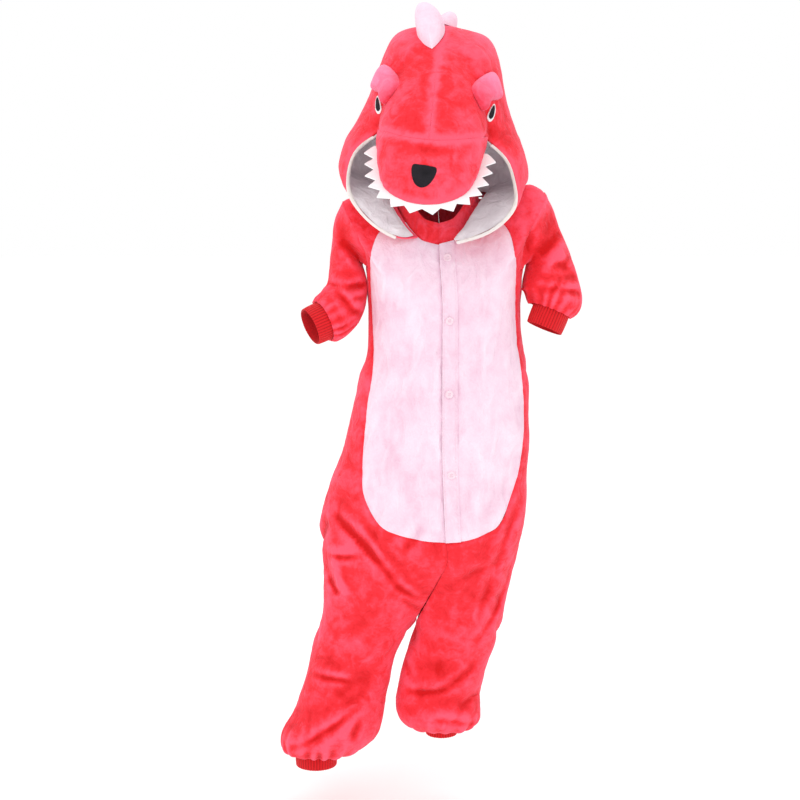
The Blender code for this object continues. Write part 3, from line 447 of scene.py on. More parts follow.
RED_PLUSH = Plush(
    "red_plush", (0.66, 0.008, 0.010, 1), (0.90, 0.030, 0.044, 1), (1.0, 0.100, 0.165, 1),
    sheen=(1.0, 0.35, 0.50, 1),
)
BROW_PLUSH = Plush(
    "brow_plush", (0.84, 0.06, 0.11, 1), (0.90, 0.14, 0.24, 1), (0.95, 0.24, 0.40, 1),
    sheen=(1.0, 0.55, 0.75, 1),
)
PALE_PLUSH = Plush(
    "pale_plush", (0.80, 0.50, 0.63, 1), (0.89, 0.65, 0.77, 1), (0.95, 0.78, 0.88, 1),
    sheen=(1.0, 0.9, 0.97, 1), sheen_weight=0.2, stretch=2.6,
)
# The knit's colour takes a painted highlight on the rib crests and painted shade in the grooves.
RIB_KNIT = Plain(
    "rib_knit", (0.36, 0.004, 0.006, 1), (0.72, 0.012, 0.018, 1), (0.1, 0.7),
    Patches(520.0, 2.0, 0.0, 0.5), Patches(30.0, 2.0, 0.0, 0.3), 0.0006,
    nap=0.45, lift=0.05, roughness=0.85, specular=0.2, sheen=0.15,
)
BUTTON = Plain(
    "button_plastic", (0.86, 0.60, 0.69, 1), (0.94, 0.74, 0.82, 1), (0.3, 0.7),
    Patches(900.0, 2.0, 0.0, 0.0), Patches(260.0, 3.0, 1.0, 1.0), 0.00005,
    roughness=0.32, wear=0.2, specular=0.5,
)
LINING = woven("lining_fabric", (0.74, 0.67, 0.71, 1), (0.96, 0.91, 0.94, 1))
BINDING = woven("binding_fabric", (0.70, 0.63, 0.60, 1), (0.88, 0.82, 0.79, 1))
WHITE_FELT = felt("white_felt", (0.86, 0.86, 0.88, 1), (0.96, 0.96, 0.97, 1))
BLACK_FELT = felt("black_felt", (0.006, 0.005, 0.007, 1), (0.020, 0.017, 0.022, 1))
PALE_THREAD = felt("pale_thread", (0.80, 0.55, 0.66, 1), (0.90, 0.68, 0.78, 1))


# A crease's lip, in shares of its depth and width, and how the crease fades.
LIP_HEIGHT = 0.55
LIP_PLACE = 1.9
LIP_WIDTH = 1.3
CREASE_TAPER = 0.7
CREASE_TURNED = (0.05, 0.45)   # cloth turned away more than this has no crease, and the fade


def hill(share: np.ndarray) -> np.ndarray:
    """A smooth hill: 1 at 0 and almost nothing past 2."""
    return np.exp(-(share**2))


@dataclass(frozen=True)
class Crease:
    """One crease: a trough between two points with a soft lip above it.

    The two points are given across and up on the plane that the crease's cloth
    faces. Across is x for cloth that faces front or back, and y for the sides.
    """

    facing: Facing
    across_1: float
    up_1: float
    across_2: float
    up_2: float
    depth: float
    width: float
    bow: float = 0.0

    def push(self, points: np.ndarray, normals: np.ndarray) -> np.ndarray:
        """How far the crease moves each point.

        Args:
            points: the cloth's points, in millimetres.
            normals: the way that the cloth faces at each.

        Returns:
            The move of each point along the facing vector, in millimetres.
        """
        facing = np.array(self.facing.value)
        first, second = [axis for axis in range(3) if facing[axis] == 0.0]
        start = np.array([self.across_1, self.up_1])
        run = np.array([self.across_2, self.up_2]) - start
        length = float(np.hypot(*run))
        along = run / length
        offset = points[:, [first, second]] - start
        share = np.clip(offset @ along / length, 0.0, 1.0)
        beside = offset[:, 0] * -along[1] + offset[:, 1] * along[0]
        beside = beside - self.bow * 4.0 * share * (1.0 - share)
        past = np.abs(offset @ along - share * length)
        taper = np.sin(np.pi * np.clip(share, 0.02, 0.98)) ** CREASE_TAPER * hill(past / self.width)
        turned = np.clip((normals @ facing - CREASE_TURNED[0]) / CREASE_TURNED[1], 0.0, 1.0)
        past_lip = beside / self.width - LIP_PLACE
        lip = LIP_HEIGHT * hill(past_lip / LIP_WIDTH)
        return self.depth * (lip - hill(beside / self.width)) * taper * turned


F, B, R, L = Facing.FRONT, Facing.BACK, Facing.RIGHT, Facing.LEFT
CREASE_ROWS = (
    # The left sleeve, from the shoulder to the cuff.
    (F, -158, -22, -112, -82, 5.0, 8, 4),
    (F, -182, -92, -148, -101, 5.0, 6, -2),
    (F, -150, -100, -112, -96, 5.5, 6),
    (F, -174, -98, -136, -137, 5.5, 7, 4),
    (F, -139, -135, -112, -144, 4.0, 6),
    (F, -137, -115, -110, -118, 3.5, 5),
    (F, -150, -45, -128, -95, 3.5, 9, -5),
    # The right sleeve.
    (F, 197, -10, 153, -76, 5.5, 8, -5),
    (F, 148, 2, 133, -60, 4.5, 7),
    (F, 219, -46, 196, -63, 4.0, 6),
    (F, 188, -105, 236, -116, 5.0, 6, 3),
    (F, 150, -99, 190, -101, 4.0, 6, -3),
    (F, 176, -60, 222, -84, 4.0, 8, 4),
    (F, 196, -82, 236, -96, 3.5, 6, 2),
    # The hips, as the cloth hangs from the lap.
    (F, -172, -458, -66, -573, 5.5, 7, 5),
    (F, -72, -568, -30, -600, 4.0, 6),
    (F, -182, -532, -128, -528, 4.0, 6, -2),
    (F, -188, -510, -158, -600, 5.0, 7, -5),
    (F, 138, -420, 64, -640, 5.0, 8, -6),
    (F, 126, -548, 88, -636, 4.5, 7, -3),
    (F, 36, -562, 96, -540, 3.0, 8, 3),
    (F, -60, -592, -20, -630, 3.0, 8),
    # The left leg.
    (F, -114, -766, -260, -863, 7.0, 8, 8),
    (F, -212, -732, -138, -738, 4.0, 6, 2),
    (F, -178, -566, -159, -598, 3.0, 6),
    (F, -106, -742, -182, -792, 3.5, 9, 6),
    (F, -120, -640, -180, -660, 3.0, 11, 4),
    (F, -140, -840, -120, -790, 3.5, 8, 4),
    (F, -226, -872, -196, -830, 3.0, 8, -4),
    # The right leg.
    (F, -56, -761, 22, -750, 4.5, 7, -3),
    (F, -14, -803, 70, -823, 5.5, 7, 5),
    (F, 124, -566, 58, -676, 4.5, 7, 4),
    (F, 70, -698, 4, -754, 4.0, 8, 5),
    (F, -58, -706, -42, -740, 3.0, 6),
    (F, 78, -760, 30, -800, 3.5, 7, -4),
    # The belly and chest.
    (F, -60, -120, -48, -300, 1.6, 14, 6),
    (F, 52, -140, 64, -330, 1.6, 14, -5),
    (F, -84, -330, -30, -500, 1.8, 13, 8),
    (F, -22, -470, -60, -520, 2.4, 9),
    (F, 66, -360, 46, -500, 1.6, 14, -6),
    # The back.
    (B, -150, -30, -92, -130, 4.0, 9, -5),
    (B, 150, -26, 98, -122, 4.5, 9, 4),
    (B, -70, -150, 12, -210, 3.0, 14, 6),
    (B, 80, -190, 20, -262, 3.0, 13, -6),
    (B, -120, -330, -40, -420, 4.0, 11, 8),
    (B, 124, -350, 44, -452, 4.0, 11, -7),
    (B, -150, -470, -50, -572, 5.0, 9, 6),
    (B, 120, -480, 26, -590, 5.0, 9, -6),
    (B, -60, -600, -20, -560, 4.0, 8),
    (B, -200, -700, -110, -740, 4.5, 8, 5),
    (B, -220, -800, -120, -842, 5.0, 8, -5),
    (B, 96, -650, 8, -700, 4.5, 8, 5),
    (B, 76, -770, -30, -800, 5.0, 8, -6),
    # The sides.
    (L, 40, -170, -30, -260, 3.0, 11, 5),
    (L, -40, -470, 40, -540, 4.0, 9, -5),
    (L, 44, -620, -30, -690, 3.5, 9, 5),
    (R, -40, -180, 36, -280, 3.0, 11, -5),
    (R, 40, -460, -36, -550, 4.0, 9, 5),
    (R, -40, -640, 40, -700, 3.5, 9, -4),
    # The hood: under the brows, over the snout and down the back.
    (F, -60, 128, 36, 112, 2.2, 9, -5),
    (F, -12, 210, -6, 150, 1.6, 16, 3),
    (B, -70, 120, 60, 96, 4.0, 13, 8),
    (B, -90, 60, -20, 40, 4.0, 9, 4),
    (B, 24, 44, 96, 62, 4.0, 9, -4),
    (L, -20, 120, 60, 80, 3.0, 12, 6),
    (R, -20, 116, 56, 74, 3.0, 12, 6),
)
CREASES = tuple(Crease(*row) for row in CREASE_ROWS)


@dataclass(frozen=True)
class Gather:
    """Uneven gathers where cloth runs into a cuff."""

    middle: Point
    axis: Point
    waves: int
    depth: float
    reach: float
    seed: float
    spread: float = 95.0

    def push(self, points: np.ndarray) -> np.ndarray:
        """How far the gathers move each point along its normal, in millimetres.

        Args:
            points: the cloth's points, in millimetres.

        Returns:
            The move of each point.
        """
        axis = np.array(self.axis) / np.linalg.norm(self.axis)
        offset = points - np.array(self.middle)
        height = offset @ axis
        side = np.cross(axis, (0.0, 1.0, 0.0) if abs(axis[1]) < 0.7 else (1.0, 0.0, 0.0))
        side = side / np.linalg.norm(side)
        other = np.cross(axis, side)
        angle = np.arctan2(offset @ other, offset @ side)
        uneven = 0.8 * np.sin(2.0 * angle + self.seed) + 0.6 * np.sin(5.0 * angle - self.seed)
        wave = np.cos(self.waves * angle + uneven) * (0.7 + 0.3 * np.sin(3.0 * angle + self.seed))
        far = np.linalg.norm(offset - np.outer(height, axis), axis=1)
        near = np.exp(-np.abs(height) / self.reach - (far / self.spread) ** 4)
        return self.depth * wave * near


GATHERS = (
    Gather((8, 5.5, -826), (0, 0, 1), 15, 2.6, 20, 0.6),
    Gather((-200, -7, -864), (0, 0, 1), 17, 2.8, 24, 1.9),
    Gather((184, -16, -128), (-0.38, -0.15, -0.91), 15, 2.2, 18, 2.7),
    Gather((-176, -35, -150), (-0.84, -0.38, -0.39), 15, 2.2, 18, 4.1),
)


@dataclass(frozen=True)
class Swell:
    """A broad soft shift of some pieces around a point."""

    starts: tuple[str, ...]
    middle: Point
    reach: float
    shift: Point

    def push(self, name: str, points: np.ndarray) -> np.ndarray:
        """How far the swell shifts each point.

        Args:
            name: the solid that the cloth stands for.
            points: the cloth's points, in millimetres.

        Returns:
            The shift of each point, in millimetres.
        """
        away = np.linalg.norm(points - np.array(self.middle), axis=1) / self.reach
        held = float(name.startswith(self.starts))
        return held * np.outer(hill(away), self.shift)


HOOD_RIM = ("hood_", "rim_binding_")
BODY = ("front_", "back_", "sleeve_left", "sleeve_right")
SWELLS = (
    # The jaws: the left one sits higher and closer in, the right one opens wider.
    Swell(HOOD_RIM, (-134, -72, 12), 46, (7.0, 0.0, 9.0)),
    Swell(HOOD_RIM, (112, -100, 30), 38, (8.0, 0.0, 2.0)),
    # The shoulders, which stand higher towards the neck and round off to the sleeves.
    Swell(BODY, (138, 0, 54), 24, (0.0, 0.0, 10.0)),
    Swell(BODY, (182, 0, 50), 20, (-4.0, 0.0, -8.0)),
    Swell(BODY, (-136, 0, 36), 22, (0.0, 0.0, 9.0)),
    Swell(BODY, (-160, 0, 30), 16, (2.0, 0.0, -3.0)),
    # The sleeves, which lie against the body and fill out above the right cuff.
    Swell(("sleeve_left",), (-117, -20, -86), 30, (5.0, 0.0, 0.0)),
    Swell(("sleeve_right",), (140, -10, -86), 30, (-4.0, 0.0, 0.0)),
    Swell(("sleeve_right",), (148, -16, -123), 16, (-5.0, 0.0, -1.0)),
)


@dataclass
class Cloth:
    """Turns a solid's showing side into a smooth, creased cloth wall."""

    node: bpy.types.Object
    finish: bpy.types.Material
    side: Side = Side.OUTSIDE
    wall: float = 2.7
    level: int = 3
    rim_width: float = 0.0042
    seam_depth: float = 1.3
    seam_width: float = 5.0
    pucker: float = 0.45
    rumple: float = 0.9
    rumple_size: float = 42.0
    creased: bool = True
    crease_gain: float = 1.3
    stand_off: float = 0.0
    # How strong and how wide the painted highlight along the seams is.
    seam_nap: float = 0.0
    seam_highlight_reach: float = 7.0
    # How the shape's and the creases' relief turn into painted highlight on ridges and painted
    # shade in hollows, and the range of that painted light.
    shape_light_scale: float = 2.2
    crease_light_scale: float = 1.4
    painted_light_range: tuple[float, float] = (-1.0, 1.6)
    pucker_size: float = 9.0
    pucker_reach: float = 11.0
    rumple_fade: float = 6.0
    fine_rumple: float = 0.4

    def showing(self) -> bmesh.types.BMesh:
        """Keeps the faces of the solid's showing side.

        The wall's narrow rim joins its two sides. Without it they come apart, and the
        outer one is the larger.

        Returns:
            The open side as a mesh of mostly four-sided faces.
        """
        mesh = welded(self.node)
        rim = {face for face in mesh.faces if shortest_edge(face) < self.rim_width}
        sides = connected_faces(mesh, rim)
        sides.sort(key=lambda faces: sum(face.calc_area() for face in faces), reverse=True)
        kept = set(sides[self.side.value])
        dropped = [face for face in mesh.faces if face not in kept]
        bmesh.ops.delete(mesh, geom=dropped, context="FACES")
        join_flat(mesh, list(mesh.faces), 50.0)
        return mesh

    def smoothed(self, name: str) -> bpy.types.Object:
        """Smooths the showing side through its own points.

        Args:
            name: the new object's name.

        Returns:
            The object, with its fine faces made real.
        """
        made = object_from(self.showing(), name)
        smooth_through_points(made, self.level)
        return made

    def make(self, name: str) -> bpy.types.Object:
        """Builds the piece of cloth.

        Args:
            name: the piece's name.

        Returns:
            The finished piece.
        """
        made = self.smoothed(name)
        points, normals = read_points(made)
        # Painted light from the smooth shape: ridges get a painted highlight, hollows painted
        # shade.
        nap = convexity(made, points, normals)
        move = self.relaxed_move(made, points, normals)
        write_points(made, points + move)
        points, normals = read_points(made)
        # Painted light from the creases as well: ridges lighter, hollows darker.
        nap = nap / self.shape_light_scale + convexity(made, points, normals) / self.crease_light_scale
        # A painted highlight along the seams.
        nap += self.seam_nap * hill(border_distance(made, points) / self.seam_highlight_reach)
        keep_layer(made, PAINTED_LIGHT_LAYER, np.clip(nap, *self.painted_light_range))
        add_wall(made, self.wall)
        dress(made, self.finish)
        publish(made, self.node.name)
        return made

    def relaxed_move(
        self, made: bpy.types.Object, points: np.ndarray, normals: np.ndarray
    ) -> np.ndarray:
        """Adds up what creases, gathers, seams and rumpling do to each point.

        Args:
            made: the smooth piece.
            points: its points, in millimetres.
            normals: the way that it faces at each.

        Returns:
            The move of each point, in millimetres.
        """
        out = -1.0 if self.side is Side.INSIDE else 1.0
        move = sum(swell.push(self.node.name, points) for swell in SWELLS)
        if self.creased:
            for crease in CREASES:
                push = self.crease_gain * crease.push(points, normals * out)
                move += np.outer(push, crease.facing.value)
            for gather in GATHERS:
                move += normals * out * gather.push(points)[:, None]
        seam = border_distance(made, points)
        press = -self.seam_depth * hill(seam / self.seam_width)
        wrinkle = field_noise(points, self.pucker_size, 3.0) * self.pucker
        wrinkle *= np.exp(-seam / self.pucker_reach)
        fine = field_noise(points, self.rumple_size / 3.0, 11.0) * self.fine_rumple
        rumple = (field_noise(points, self.rumple_size, 7.0) + fine) * self.rumple
        fade = 1.0 - hill(seam / self.rumple_fade)
        along = press + wrinkle + (rumple - self.stand_off) * fade
        return move + normals * (along * out)[:, None]


def link_object(name: str, data: bpy.types.ID) -> bpy.types.Object:
    """Puts a mesh, a lamp or a camera into the scene.

    Args:
        name: the object's name.
        data: what it shows.

    Returns:
        The object.
    """
    made = bpy.data.objects.new(name, data)
    bpy.context.scene.collection.objects.link(made)
    return made


def welded(node: bpy.types.Object) -> bmesh.types.BMesh:
    """A copy of a solid's mesh with its loose corners welded.

    Args:
        node: the solid.

    Returns:
        The copy.
    """
    mesh = bmesh.new()
    mesh.from_mesh(node.data)
    bmesh.ops.remove_doubles(mesh, verts=mesh.verts, dist=WELD)
    return mesh


def join_flat(mesh: bmesh.types.BMesh, faces: list[bmesh.types.BMFace], bend: float) -> None:
    """Joins pairs of triangles to four-sided faces.

    Args:
        mesh: the mesh, changed in place.
        faces: the triangles.
        bend: pairs that bend by more than this many degrees stay apart.
    """
    limits = {"angle_face_threshold": math.radians(bend), "angle_shape_threshold": JOIN_SKEW}
    bmesh.ops.join_triangles(mesh, faces=faces, **limits)


def object_from(mesh: bmesh.types.BMesh, name: str) -> bpy.types.Object:
    """Turns an edited mesh into an object.

    Args:
        mesh: the edited mesh, freed here.
        name: the object's name.

    Returns:
        The object.
    """
    data = bpy.data.meshes.new(name)
    mesh.to_mesh(data)
    mesh.free()
    return link_object(name, data)


def shortest_edge(face: bmesh.types.BMFace) -> float:
    """The length of a face's shortest edge, in metres."""
    return min(edge.calc_length() for edge in face.edges)


def connected_faces(
    mesh: bmesh.types.BMesh, barrier: set[bmesh.types.BMFace]
) -> list[list[bmesh.types.BMFace]]:
    """Groups the faces that hang together.

    Args:
        mesh: the mesh.
        barrier: faces that belong to no group and part the others.

    Returns:
        The groups.
    """
    unseen = {face for face in mesh.faces if face not in barrier}
    groups = []
    while unseen:
        stack = [unseen.pop()]
        group = []
        while stack:
            face = stack.pop()
            group.append(face)
            for edge in face.edges:
                for other in edge.link_faces:
                    if other in unseen:
                        unseen.discard(other)
                        stack.append(other)
        groups.append(group)
    return groups


def smooth_through_points(made: bpy.types.Object, level: int, rounds: int = 3) -> None:
    """Smooths a mesh without letting it shrink from its own points.

    Args:
        made: the object, changed in place.
        level: how often each face is divided.
        rounds: how often the points are pushed out to make up for the smoothing.
    """
    count = len(made.data.vertices)
    wanted = read_points(made)[0]
    smoothing = made.modifiers.new("smoothing", "SUBSURF")
    smoothing.levels = 1
    smoothing.render_levels = 1
    smoothing.boundary_smooth = "PRESERVE_CORNERS"
    held = wanted.copy()
    for _ in range(rounds):
        smooth = evaluated_points(made)[:count]
        held += PUSH_BACK * (wanted - smooth)
        write_points(made, held)
    smoothing.levels = level
    smoothing.render_levels = level
    make_real(made)


def smooth_solid(
    node: bpy.types.Object,
    name: str,
    finish: bpy.types.Material,
    level: int = 2,
    sharp: float = 50.0,
    rounds: int = 3,
) -> bpy.types.Object:
    """Smooths a whole closed solid, keeping its sharp edges.

    Args:
        node: the solid.
        name: the new piece's name.
        finish: its material.
        level: how often each face is divided.
        sharp: edges that bend by more than this many degrees stay sharp.
        rounds: how often the points are pushed out to make up for the smoothing.

    Returns:
        The finished piece.
    """
    mesh = welded(node)
    crease = mesh.edges.layers.float.new("crease_edge")
    for edge in mesh.edges:
        edge[crease] = 1.0 if edge.calc_face_angle(0.0) > math.radians(sharp) else 0.0
    flat = [edge for edge in mesh.edges if edge[crease] < 0.5]
    join_flat(mesh, list({face for edge in flat for face in edge.link_faces}), 40.0)
    made = object_from(mesh, name)
    smooth_through_points(made, level, rounds)
    points = read_points(made)[0]
    write_points(made, points + sum(swell.push(node.name, points) for swell in SWELLS))
    points, normals = read_points(made)
    # Painted light from the solid's relief: ridges lighter, hollows darker.
    nap = convexity(made, points, normals) / Cloth.crease_light_scale
    keep_layer(made, PAINTED_LIGHT_LAYER, np.clip(nap, -1.0, 1.0))
    dress(made, finish)
    publish(made, node.name)
    return made


def new_object(
    name: str, points: np.ndarray, faces: list[tuple[int, ...]]
) -> bpy.types.Object:
    """Makes an object.

    Args:
        name: its name.
        points: its points, in millimetres.
        faces: its faces, as numbers of points.

    Returns:
        The object, with its faces turned outward.
    """
    data = bpy.data.meshes.new(name)
    data.from_pydata([tuple(point) for point in points * MM], [], faces)
    mesh = bmesh.new()
    mesh.from_mesh(data)
    bmesh.ops.recalc_face_normals(mesh, faces=mesh.faces)
    mesh.to_mesh(data)
    mesh.free()
    return link_object(name, data)


def evaluated_points(made: bpy.types.Object) -> np.ndarray:
    """Reads an object's points as its modifiers leave it.

    Args:
        made: the object.

    Returns:
        The points, in millimetres.
    """
    graph = bpy.context.evaluated_depsgraph_get()
    graph.update()
    mesh = made.evaluated_get(graph).to_mesh()
    found = np.empty(len(mesh.vertices) * 3)
    mesh.vertices.foreach_get("co", found)
    return found.reshape(-1, 3) / MM


def make_real(made: bpy.types.Object) -> None:
    """Replaces an object's mesh by what its modifiers make of it.

    Args:
        made: the object, changed in place.
    """
    graph = bpy.context.evaluated_depsgraph_get()
    graph.update()
    data = bpy.data.meshes.new_from_object(made.evaluated_get(graph))
    made.modifiers.clear()
    old = made.data
    made.data = data
    data.name = made.name
    bpy.data.meshes.remove(old)


def read_points(made: bpy.types.Object) -> tuple[np.ndarray, np.ndarray]:
    """Reads a mesh.

    Args:
        made: the object that shows it.

    Returns:
        Its points, in millimetres, and the way that it faces at each.
    """
    count = len(made.data.vertices)
    points = np.empty(count * 3)
    normals = np.empty(count * 3)
    made.data.vertices.foreach_get("co", points)
    made.data.vertex_normals.foreach_get("vector", normals)
    return points.reshape(-1, 3) / MM, normals.reshape(-1, 3)


def write_points(made: bpy.types.Object, points: np.ndarray) -> None:
    """Puts a mesh's points where they are given, in millimetres."""
    made.data.vertices.foreach_set("co", (points * MM).ravel())
    made.data.update()


def edge_pairs(made: bpy.types.Object) -> np.ndarray:
    """Reads a mesh's edges.

    Args:
        made: the object that shows it.

    Returns:
        The two points of each edge, one edge a row.
    """
    pairs = np.empty(len(made.data.edges) * 2, dtype=np.int64)
    made.data.edges.foreach_get("vertices", pairs)
    return pairs.reshape(-1, 2)


def convexity(made: bpy.types.Object, points: np.ndarray, normals: np.ndarray) -> np.ndarray:
    """How far each point stands out of the cloth around it.

    Args:
        made: the piece.
        points: its points, in millimetres.
        normals: the way that it faces at each.

    Returns:
        Millimetres, above 0 on a ridge and below 0 in a hollow.
    """
    pairs = edge_pairs(made)
    count = np.bincount(pairs.ravel(), minlength=len(points)).reshape(-1, 1)
    level = points.copy()
    for _ in range(LEVEL_ROUNDS):
        total = np.zeros_like(level)
        np.add.at(total, pairs[:, 0], level[pairs[:, 1]])
        np.add.at(total, pairs[:, 1], level[pairs[:, 0]])
        level = 0.5 * level + 0.5 * total / np.maximum(count, 1)
    return np.einsum("ij,ij->i", points - level, normals)


def border_distance(made: bpy.types.Object, points: np.ndarray) -> np.ndarray:
    """Measures how far each point lies from the open border.

    Args:
        made: the piece.
        points: its points, in millimetres.

    Returns:
        Millimetres, or a very large number where there is no border.
    """
    mesh = bmesh.new()
    mesh.from_mesh(made.data)
    border = [vert.index for vert in mesh.verts if vert.is_boundary]
    mesh.free()
    if not border:
        return np.full(len(points), NO_BORDER)
    tree = KDTree(len(border))
    for place, index in enumerate(border):
        tree.insert(points[index], place)
    tree.balance()
    return np.array([tree.find(point)[2] for point in points])


def field_noise(points: np.ndarray, size: float, seed: float) -> np.ndarray:
    """Smooth random numbers from about -1 to 1.

    Args:
        points: where, in millimetres.
        size: how far apart the hills are, in millimetres.
        seed: shifts the field.

    Returns:
        One number a point.
    """
    shifted = points / size + seed * NOISE_SHIFT
    return np.array([noise.noise(point) for point in shifted]) * NOISE_GAIN


def keep_layer(made: bpy.types.Object, name: str, values: np.ndarray) -> None:
    """Keeps a number on each of a mesh's points."""
    layer = made.data.attributes.new(name, "FLOAT", "POINT")
    layer.data.foreach_set("value", values.astype(np.float32))


def add_wall(made: bpy.types.Object, wall: float) -> None:
    """Gives an open side its cloth's thickness.

    Args:
        made: the piece, changed in place.
        wall: the thickness, in millimetres.
    """
    thick = made.modifiers.new("wall", "SOLIDIFY")
    thick.thickness = wall * MM
    thick.offset = -1.0
    thick.use_rim = True
    make_real(made)


def dress(made: bpy.types.Object, material: bpy.types.Material) -> None:
    """Gives a piece its material and smooth shading.

    Args:
        made: the piece.
        material: its material.
    """
    made.data.materials.clear()
    made.data.materials.append(material)
    for face in made.data.polygons:
        face.material_index = 0
        face.use_smooth = True
    mark_sharp(made)


def mark_sharp(made: bpy.types.Object, limit: float = 55.0) -> None:
    """Keeps a piece's sharp edges sharp where it is shaded smooth.

    Args:
        made: the piece.
        limit: edges that bend by more than this many degrees stay sharp.
    """
    mesh = bmesh.new()
    mesh.from_mesh(made.data)
    for edge in mesh.edges:
        edge.smooth = edge.calc_face_angle(0.0) < math.radians(limit)
    mesh.to_mesh(made.data)
    mesh.free()


@dataclass(frozen=True)
class Cut:
    """The flat piece of cloth that a piece was cut to, in metres and square metres."""

    width: float
    length: float
    area: float
    held: str
    rests_on: tuple[str, ...]


def publish(made: bpy.types.Object, replaced: str) -> None:
    """Lets a piece ride on the body and stand for its solid.

    Args:
        made: the piece.
        replaced: the solid's name.
    """
    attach(made, ROOT)
    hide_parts(replaced)
    LOG.info("%s has %d faces", made.name, len(made.data.polygons))


@dataclass
class Onesie:
    """What the sub-assemblies share: the frame's solids and the finishes."""

    nodes: dict[str, bpy.types.Object]
    finishes: dict[str, bpy.types.Material] = field(default_factory=dict)
    pieces: dict[str, bpy.types.Object] = field(default_factory=dict)

    def finish(self, recipe: Plush | Plain) -> bpy.types.Material:
        """A finish's material, made once.

        Args:
            recipe: the finish.

        Returns:
            Its material.
        """
        if recipe.name not in self.finishes:
            self.finishes[recipe.name] = recipe.make()
        return self.finishes[recipe.name]

    def cloth(
        self, name: str, recipe: Plush | Plain, kind: str = "plush", **sizes: object
    ) -> bpy.types.Object:
        """Makes a piece of cloth from a solid's showing side.

        Args:
            name: the solid.
            recipe: the finish.
            kind: what the piece's name ends with.
            sizes: the cloth's own sizes, where they differ.

        Returns:
            The finished piece.
        """
        made = Cloth(self.nodes[name], self.finish(recipe), **sizes).make(f"{name}_{kind}")
        self.pieces[name] = made
        return made

    def solid(
        self, name: str, recipe: Plush | Plain, kind: str, level: int = 2
    ) -> bpy.types.Object:
        """Makes a piece from a whole solid.

        Args:
            name: the solid.
            recipe: the finish.
            kind: what the piece's name ends with.
            level: how often each face is divided.

        Returns:
            The finished piece.
        """
        made = smooth_solid(self.nodes[name], f"{name}_{kind}", self.finish(recipe), level)
        self.pieces[name] = made
        return made


@dataclass
class Trunk:
    """The four body panels, the belly, the placket and the neck band."""

    onesie: Onesie
    panels: tuple[str, ...] = ("front_right", "front_left", "back_right", "back_left")
    bellies: tuple[str, ...] = ("belly_right", "belly_left")
    band_shift: float = 1.6
    band_reach: float = 9.0
    band_gap: float = 0.1

    def build(self) -> None:
        """Makes each panel."""
        for name in self.panels:
            self.onesie.cloth(name, RED_PLUSH)
        for name in self.bellies:
            self.onesie.cloth(name, PALE_PLUSH)
        self.close_band(self.onesie.cloth("neck_band", RED_PLUSH))
        self.onesie.cloth("placket", PALE_PLUSH, seam_depth=0.5)

    def close_band(self, band: bpy.types.Object) -> None:
        """Draws the neck band's two front ends together, until they nearly touch.

        Args:
            band: the neck band, changed in place.
        """
        points = read_points(band)[0]
        apart = np.abs(points[:, 0])
        near = np.exp(-((apart / self.band_reach) ** 2)) * (points[:, 1] < 0.0)
        closer = np.maximum(apart - self.band_shift * near, np.minimum(apart, self.band_gap))
        points[:, 0] = np.sign(points[:, 0]) * closer
        write_points(band, points)


